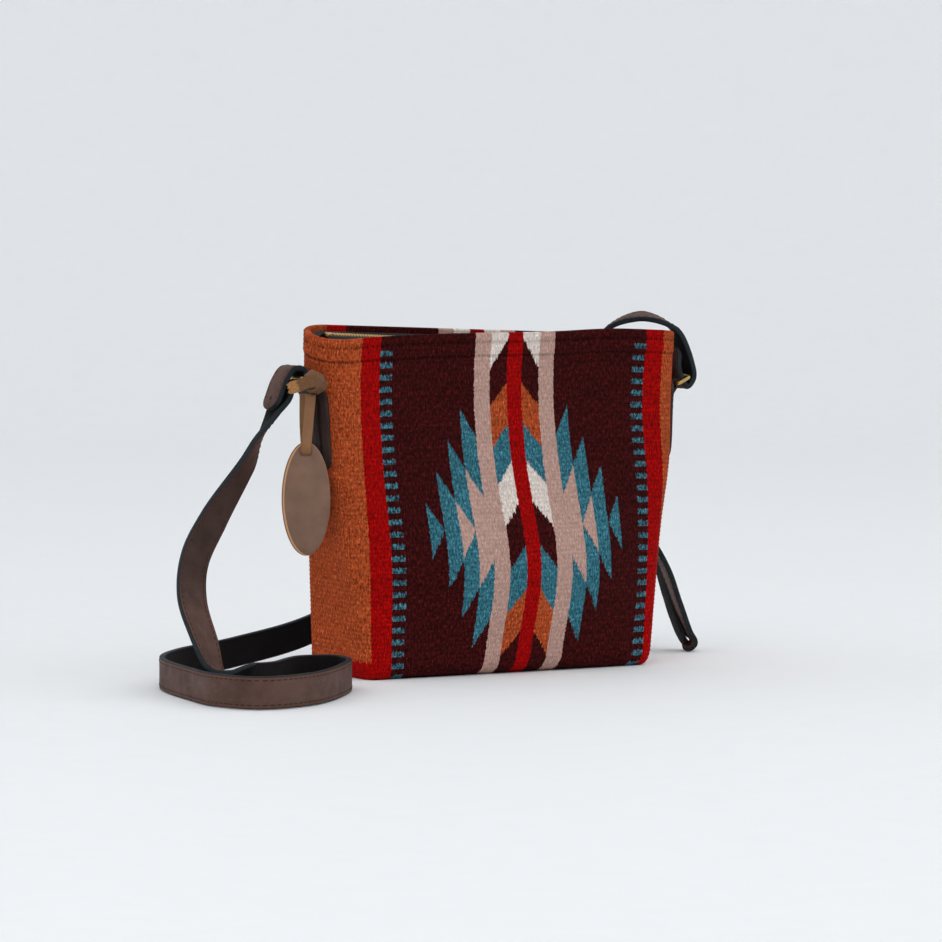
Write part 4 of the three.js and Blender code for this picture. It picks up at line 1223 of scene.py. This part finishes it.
class BAG_OT_tag(bpy.types.Operator):
    """Makes the tan thong, its knot on the left ring and the oval leather tag."""

    bl_idname = "bag.tag"
    bl_label = "Thong and tag"

    def execute(self, context):
        leather = context.scene.bag_leather
        knot, middle, right, front = tag_frame()
        axes = np.stack([right, front, UP])
        tan = leather_finish("thong_leather", leather.thong, dark_share=0.7, roughness=0.62)
        tag = self.tag(leather, middle, right, front)
        lump = self.knot(leather, knot, axes)
        slot_top = TAG_HEIGHT / 2 - TAG_SLOT_DEPTH
        slot_middle = slot_top - TAG_SLOT_HEIGHT / 2
        knot_foot = TAG_DROP - KNOT_HEIGHT / 2
        stand = TAG_THICK / 2 + THONG_THICK / 2 + LOOSE_GAP
        steps = np.array([
            [TAG_SHIFT / 2, TAG_SETBACK - THONG_THICK, knot_foot],
            [TAG_SHIFT / 4, stand, (slot_middle + knot_foot) / 2],
            [0, stand, slot_top],
            [0, 0, slot_middle - GAP],
            [0, -stand, slot_top],
            [-TAG_SHIFT / 8, -stand, (slot_middle + knot_foot) / 2],
            [-TAG_SHIFT / 8, -stand, knot_foot],
        ])
        points = spline((middle + steps @ axes) * MM, THONG_STATIONS)
        section = rounded_section(THONG_WIDTH, THONG_THICK, THONG_CORNER)
        skin = sweep(points, right, section * MM)
        thong = piece("thong_strand", skin, tan, replaces="tag_thong")
        return {"FINISHED"}

    def tag(self, leather, middle, right, front):
        """Oval slab with a slot: rings from the slot out to the rounded rim on one face, then back on the
        other. The rim is an ellipse and the slot a squared one. The map holds the share of the way across
        and the distance inwards from the rim in millimetres."""
        turn = circle(TAG_SIDES)
        half_width, half_height = TAG_WIDTH / 2, TAG_HEIGHT / 2
        slot_y = half_height - TAG_SLOT_DEPTH - TAG_SLOT_HEIGHT / 2 - GAP
        hole_x = (THONG_WIDTH / 2 + SLOT_PLAY) * squared(np.cos(turn), 0.5)
        hole_y = slot_y + (THONG_THICK / 2 + SLOT_PLAY) * squared(np.sin(turn), 0.5)
        share, height = np.array(TAG_RINGS).T[..., None]
        share = np.concatenate([share, share[::-1]])
        height = TAG_THICK / 2 * np.concatenate([height, -height[::-1]])
        x = hole_x + share * (half_width * np.cos(turn) - hole_x)
        y = hole_y + share * (half_height * np.sin(turn) - hole_y)
        points = middle + x[..., None] * right + height[..., None] * front + y[..., None] * UP
        inset = (1 - np.hypot(x / half_width, y / half_height)) * half_width
        uv = np.pad(stacked(x / half_width, inset)[:, ::-1], ((0, 1), (0, 1), (0, 0)), "wrap")
        skin = grid(points[:, ::-1] * MM, uv, "joined")
        return piece("tag_oval", skin, tag_finish(leather), replaces="hang_tag")

    def knot(self, leather, knot, axes):
        """Knot: a rounded core, two bands of thong wound over it and a frayed end across its front."""
        half = np.array([KNOT_WIDTH, KNOT_DEPTH, KNOT_HEIGHT]) / 2 - KNOT_BAND
        tan = leather_finish("knot_leather", leather.knot, dark_share=0.65, roughness=0.62)
        core = self.core(tan, knot, axes, half - KNOT_BAND / 3)
        bands = [self.wind(tan, knot, axes, half, *band) for band in KNOT_BANDS]
        return [core, *bands, self.frayed_end(leather, knot, axes)]

    def core(self, tan, knot, axes, half):
        """Ellipsoid with a soft unevenness: rings of latitude from its foot to its top."""
        turn = circle(CORE_SIDES)
        rise = (np.linspace(-0.5, 0.5, CORE_ROWS)[1:-1] * math.pi)[:, None]
        ball = stacked(np.cos(rise) * np.cos(turn), np.cos(rise) * np.sin(turn), np.sin(rise))
        uneven = 1 + CORE_UNEVEN * np.sin(3 * turn + 4 * rise)
        points = knot + (ball * uneven[..., None] * half) @ axes
        return piece("knot_core", grid(points[:, ::-1] * MM), tan, replaces="thong_knot")

    def wind(self, tan, knot, axes, half, name, normal, offset, width):
        """Closed band wound round the core where a plane cuts it, its width laid along the surface."""
        turn = circle(BAND_SIDES)[:, None]
        normal = unit(np.array(normal))
        first = unit(np.cross(normal, UP + 0.5))
        second = np.cross(normal, first)
        ring = offset * normal + math.sqrt(1 - offset**2) * (np.cos(turn) * first + np.sin(turn) * second)
        points = knot + (ring * half) @ axes
        slant = ((normal - (ring @ normal)[:, None] * ring) * half) @ axes
        along = loop_along(points)
        across = unit(slant - (slant * along).sum(1, keepdims=True) * along)
        section = rounded_section(width, 2 * KNOT_BAND, THONG_CORNER)
        skin = carried(points, across, np.cross(along, across), section)
        return piece(name, grid(skin[:, ::-1] * MM, ends="joined"), tan)

    def frayed_end(self, leather, knot, axes):
        """Strip across the core's front and off to the left, whose cut end is drawn out in points by the
        fourth power of the way along it."""
        points = spline(knot + FRAYED_ROUTE @ axes, FRAYED_STATIONS)
        along, across, out = band_frame(points, UP)
        reach = np.linspace(-FRAYED_HALF, FRAYED_HALF, FRAYED_COLUMNS)
        side = np.concatenate([reach, reach[::-1]])
        rise = np.repeat([FRAYED_THICK / 2, -FRAYED_THICK / 2], len(reach))
        tooth = FRAYED_POINT * np.abs((side / FRAYED_PITCH) % 1 - 0.5)
        tooth = tooth + FRAYED_UNEVEN * np.sin(FRAYED_WANDER * side)
        run = np.linspace(0, 1, len(points))[:, None]
        skin = carried(points, across, out, np.stack([side, rise], 1))
        skin = skin + along[:, None] * (run**4 * tooth)[..., None]
        uv = stacked(np.zeros(len(side) + 1), run)
        return piece("knot_frayed_end", grid(skin[:, ::-1] * MM, uv), frayed_finish(leather))


class BAG_OT_pouch(bpy.types.Operator):
    """Makes the woven wool pouch with its ribs and turned hem, and the lining inside it."""

    bl_idname = "bag.pouch"
    bl_label = "Pouch"

    def execute(self, context):
        self.wool(context.scene.bag_cloth)
        self.lining(context.scene.bag_metal)
        return {"FINISHED"}

    def wool(self, cloth):
        """Grid up the outer wall with four rows to a rib, over the rolled rim and down the inside. Each
        outer point stands off the wall by a wave of the rib's height, and by the swell of the hem."""
        rib = cloth.rib_pitch / MM
        top = HEIGHT - RIM_ROUND
        z = np.linspace(0.0, top, int(HEIGHT / rib * ROWS_TO_RIB))
        hem = np.clip((z - (HEIGHT - HEM_DEPTH)) / HEM_RAMP + 0.5, 0, 1)
        rise = cloth.rib_rise / MM * (0.5 - 0.5 * np.cos(FULL_TURN * z / rib)) * np.clip(z / FOOT_EASE, 0, 1)
        outer = wall_rows(WOOL_COLUMNS, z, SKIN_INSET - hem * HEM_SWELL - rise)
        turn = np.linspace(0, math.pi, RIM_STEPS)[1:-1]
        rim_z = top + RIM_ROUND * np.sin(turn)
        middle, half = (WALL - HEM_SWELL) / 2, (WALL + HEM_SWELL) / 2
        rim = wall_rows(WOOL_COLUMNS, rim_z, middle - half * np.cos(turn))
        ease = (1 + np.cos(np.linspace(0, math.pi, INNER_ROWS))) / 2
        inner_z = WALL + GAP + (top - WALL - GAP) * ease
        inner = wall_rows(WOOL_COLUMNS, inner_z, WALL)
        under = wall_rows(WOOL_COLUMNS, np.zeros(1), SKIN_INSET)
        grow = np.array(BASE_RINGS)[:, None, None]
        base = under * grow + under.mean(1) * (1 - grow)
        uv = cloth_map(WOOL_COLUMNS, np.concatenate([BASE_MAP, z, rim_z, 2 * HEIGHT - inner_z]))
        skin = grid(np.concatenate([base, outer, rim, inner]) * MM, uv)
        piece("wool_pouch", skin, wool_finish(cloth), replaces="woven_body")

    def lining(self, metal):
        """Thin cotton pouch inside the wool: up its outer face, over its edge and down its inner face."""
        top = HEIGHT - LINING_DROP
        rows = np.geomspace(LINING_FIRST_ROW, top - LINING_INSET, LINING_ROWS)
        z = np.concatenate([[0.0], rows]) + LINING_INSET
        inner_z = np.maximum(z[::-1], LINING_INSET + LINING_THICK)
        outer = wall_rows(LINING_COLUMNS, z, LINING_INSET)
        inner = wall_rows(LINING_COLUMNS, inner_z, LINING_INSET + LINING_THICK)
        uv = cloth_map(LINING_COLUMNS, np.concatenate([z, 2 * top - inner_z]))
        skin = grid(np.concatenate([outer, inner]) * MM, uv)
        material = plain_cloth_finish("lining_cotton", metal.lining, pitch=0.8)
        piece("lining_pouch", skin, material, replaces="lining")


class BAG_OT_zip(bpy.types.Operator):
    """Makes the zip's tapes and rows of teeth, and finishes its stops, slider and pull."""

    bl_idname = "bag.zip"
    bl_label = "Zip"

    def execute(self, context):
        metal = context.scene.bag_metal
        tape = plain_cloth_finish("zip_tape_cloth", metal.tape, pitch=0.9)
        brass = brass_finish("zip_brass", metal.brass)
        for name, side in (("front", -1), ("back", 1)):
            self.tape(name, side, tape)
            self.teeth(name, side, brass)
        for node in ("zip_stop_left", "zip_stop_right", "zip_slider", "zip_pull"):
            shown = nodes[node]
            shown.data.materials.clear()
            shown.data.materials.append(brass)
            weld = shown.modifiers.new("weld", "WELD")
            weld.merge_threshold = WELD_REACH * MM
            bevel = shown.modifiers.new("soft_edges", "BEVEL")
            bevel.width = EDGE_BEVEL * MM
            bevel.segments = 2
        return {"FINISHED"}

    def tape(self, name, side, material):
        """Strip ruled from the chain to the lining's wall, a little slack between them, with rounded edges.
        It sinks with the chain on the right half."""
        middle, axes = zip_frame()
        x = np.linspace(-ZIP_LENGTH / 2, ZIP_LENGTH / 2, TAPE_STATIONS)
        z = HEIGHT - TAPE_SINK - np.maximum(x, 0) * math.sin(ZIP_SLOPE)
        inset = LINING_INSET + LINING_THICK + GAP
        edge = (wall(share_at(x, z, inset, side), z, inset) - middle) @ axes.T
        chain = edge * (1, 0, 0) + np.array([0, side * (CHAIN_EDGE + GAP), 0])
        part = np.linspace(0, 1, TAPE_STEPS)
        sheet = chain[:, None] + part[None, :, None] * (edge - chain)[:, None]
        sheet[..., 2] -= TAPE_SLACK * np.sin(math.pi * part)
        near_edge = np.clip(np.minimum(part, 1 - part) * TAPE_EDGE_RATE + TAPE_EDGE, 0, 1)
        lift = TAPE_THICK / 2 * np.sin(near_edge * math.pi / 2)[:, None] * UP
        points = middle + np.concatenate([sheet + lift, (sheet - lift)[:, ::-1]], 1) @ axes
        across = np.concatenate([part, 2 - part[::-1], [2.0]]) * TAPE_MAP
        skin = grid(points[:, ::-side] * MM, stacked(across[None], x[:, None])[:, ::-side])
        piece(f"tape_{name}", skin, material, replaces=f"zip_tape_{name}")

    def teeth(self, name, side, brass):
        """Row of teeth: each is a rounded block, narrow at its tip, repeated along the chain by a pitch."""
        middle, axes = zip_frame()
        count = int(ZIP_LENGTH // TOOTH_PITCH) - 2
        at = (np.arange(count * 2) + 0.5 - count) * TOOTH_PITCH / 2
        turn = circle(TOOTH_SIDES)
        part, girth = np.array(TOOTH_RINGS).T[..., None]
        y = side * (CHAIN_EDGE - (1 - part) * TOOTH_REACH)
        x = girth * squared(np.cos(turn), TOOTH_POWER) * TOOTH_HALF
        z = girth * squared(np.sin(turn), TOOTH_POWER) * TOOTH_HEIGHT / 2
        vertices, faces, _ = grid(stacked(x, y, z)[:, ::-side])
        points = middle + (vertices[None] + at[:, None, None] * np.array([1, 0, 0])) @ axes
        skin = (points.reshape(-1, 3) * MM, copied(faces, len(vertices), len(at)))
        piece(f"teeth_{name}", skin, brass, replaces=f"zip_teeth_{name}")


class BAG_OT_sides(bpy.types.Operator):
    """Makes the leather side tabs with their stitches, and the wire rings in their eyes."""

    bl_idname = "bag.sides"
    bl_label = "Tabs and rings"

    def execute(self, context):
        leather = context.scene.bag_leather
        hide = leather_finish("tab_leather", leather.tab, dark_share=0.6, roughness=0.7)
        thread = leather_finish("tab_thread", leather.thread, dark_share=0.7, roughness=0.8)
        brass = brass_finish("ring_brass", context.scene.bag_metal.brass)
        for name, side in (("left", -1), ("right", 1)):
            self.tab(name, side, hide)
            self.patch(name, side, hide, leather, thread)
            self.sew(name, side, leather, thread)
            self.ring(name, side, brass)
        return {"FINISHED"}

    def tab(self, name, side, hide):
        """Leather folded over the ring: up its outer layer, round the wire and down its inner layer."""
        head, out, up, width = seam_frame(side)
        bend = EYE_BORE + TAB_LEATHER / 2
        turn = np.linspace(-math.pi / 4, math.pi, TAB_EYE_STEPS)
        eye = np.stack([EYE_STAND + bend * np.cos(turn), bend * np.sin(turn)], 1)
        rise = np.linspace(-TAB_LENGTH, -2 * EYE_OUTER, TAB_STEPS)
        front = stacked(GAP + 1.5 * TAB_LEATHER, rise)
        back = stacked(GAP + TAB_LEATHER / 2, rise[::-1])
        path = np.concatenate([front, eye, back])
        points = (head + path[:, :1] * out + path[:, 1:] * up) * MM
        section = rounded_section(TAB_WIDTH, TAB_LEATHER, TAB_CORNER)
        skin = sweep(points, width, section * MM)
        piece(f"tab_{name}", skin, hide, replaces=f"side_tab_{name}")

    def patch(self, name, side, hide, leather, thread):
        """Leather patch draped on the wall from the seam towards the front, with stitches inside its rim:
        rings grow from its middle to a squared ellipse, stand off the wall and come down to it."""
        turn = circle(PATCH_SIDES)
        size = np.array([PATCH_WIDTH, PATCH_HEIGHT])
        rim = size / 2 * squared(np.stack([np.cos(turn), np.sin(turn)], 1), PATCH_POWER)
        grow, stand = np.array(PATCH_RINGS).T[..., None]
        stand = np.concatenate([PATCH_THICK * stand, np.full_like(stand, -PATCH_SINK)])
        grow = np.concatenate([grow, grow[::-1]])
        share, z = self.on_wall(side, grow * rim[:, 0], grow * rim[:, 1])
        skin = wall(share, z, -stand)
        piece(f"patch_{name}", grid(skin[:, ::side] * MM), hide)
        line = rim * (1 - 2 * PATCH_SEAM / size)
        line = np.vstack([line, line[:1]])
        run = way_along(line)
        at = np.arange(0, run[-1], leather.stitch_pitch / MM)
        share, z = self.on_wall(side, np.interp(at, run, line[:, 0]), np.interp(at, run, line[:, 1]))
        places = wall(share, z, -PATCH_THICK)
        out = wall_normal(share, z)
        skin = stitches(places * MM, loop_along(places), out, leather.stitch_pitch, TAB_STITCH_RISE)
        piece(f"patch_stitches_{name}", skin, thread)

    def on_wall(self, side, over, rise):
        """Share of the way round and height of a place on the patch, measured from the patch's middle."""
        way = (PATCH_SHIFT + over) / CLOTH_ROUND
        return (way if side < 0 else 0.5 - way), PATCH_MIDDLE + rise

    def sew(self, name, side, leather, thread):
        """Stitches down both edges and across the foot of the strip."""
        head, out, up, width = seam_frame(side)
        pitch = leather.stitch_pitch / MM
        inset = TAB_WIDTH / 2 - TAB_SEAM
        down = np.arange(TAB_SEAM_START - TAB_LENGTH, -3 * EYE_OUTER, pitch)
        foot = np.arange(-inset + pitch / 2, inset, pitch)
        rows = (stacked(down, -inset), stacked(down, inset), stacked(TAB_SEAM - TAB_LENGTH, foot))
        local = np.concatenate(rows)
        places = head + TAB_FACE * out + local[:, :1] * up + local[:, 1:] * width
        along = np.concatenate([np.tile(up, (2 * len(down), 1)), np.tile(width, (len(foot), 1))])
        skin = stitches(places * MM, along, out, leather.stitch_pitch, TAB_STITCH_RISE)
        piece(f"tab_stitches_{name}", skin, thread)

    def ring(self, name, side, brass):
        """Round wire carried round a rectangle with rounded corners."""
        eye, reach, normal, width = ring_frame(side)
        path = rounded_section(2 * RING_HALF, RING_REACH, RING_CORNER, RING_CORNER_STEPS)
        points = eye + (path[:, 1:] + RING_REACH / 2) * reach + path[:, :1] * width
        outward = np.cross(loop_along(points), normal)
        turn = circle(RING_SIDES)
        section = RING_WIRE / 2 * np.stack([np.cos(turn), np.sin(turn)], 1)
        skin = carried(points, outward, np.broadcast_to(normal, points.shape), section)
        skin = grid(skin[:, ::-1] * MM, ends="joined")
        piece(f"ring_{name}", skin, brass, f"{name}_ring", f"strap_ring_{name}")


class BAG_PT_panel(bpy.types.Panel):
    """Sidebar list of the bag's pieces."""

    bl_idname = "BAG_PT_panel"
    bl_label = "Woven crossbody bag"
    bl_space_type = "VIEW_3D"
    bl_region_type = "UI"
    bl_category = "Bag"

    def draw(self, context):
        for operator in OPERATORS:
            self.layout.operator(operator.bl_idname)


SETTINGS = {
    "bag_cloth": BagClothSettings,
    "bag_leather": BagLeatherSettings,
    "bag_metal": BagMetalSettings,
    "bag_stage": BagStageSettings,
}
OPERATORS = (BAG_OT_stage, BAG_OT_strap, BAG_OT_tag, BAG_OT_pouch, BAG_OT_zip, BAG_OT_sides)


def register():
    for name, group in SETTINGS.items():
        bpy.utils.register_class(group)
        setattr(bpy.types.Scene, name, PointerProperty(type=group))
    for operator in OPERATORS:
        bpy.utils.register_class(operator)
    bpy.utils.register_class(BAG_PT_panel)


def unregister():
    bpy.utils.unregister_class(BAG_PT_panel)
    for operator in reversed(OPERATORS):
        bpy.utils.unregister_class(operator)
    for name, group in reversed(SETTINGS.items()):
        delattr(bpy.types.Scene, name)
        bpy.utils.unregister_class(group)


def main():
    """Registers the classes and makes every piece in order."""
    register()
    bpy.ops.bag.stage()
    bpy.ops.bag.strap()
    bpy.ops.bag.tag()
    bpy.ops.bag.pouch()
    bpy.ops.bag.zip()
    bpy.ops.bag.sides()


if __name__ == "__main__":
    main()
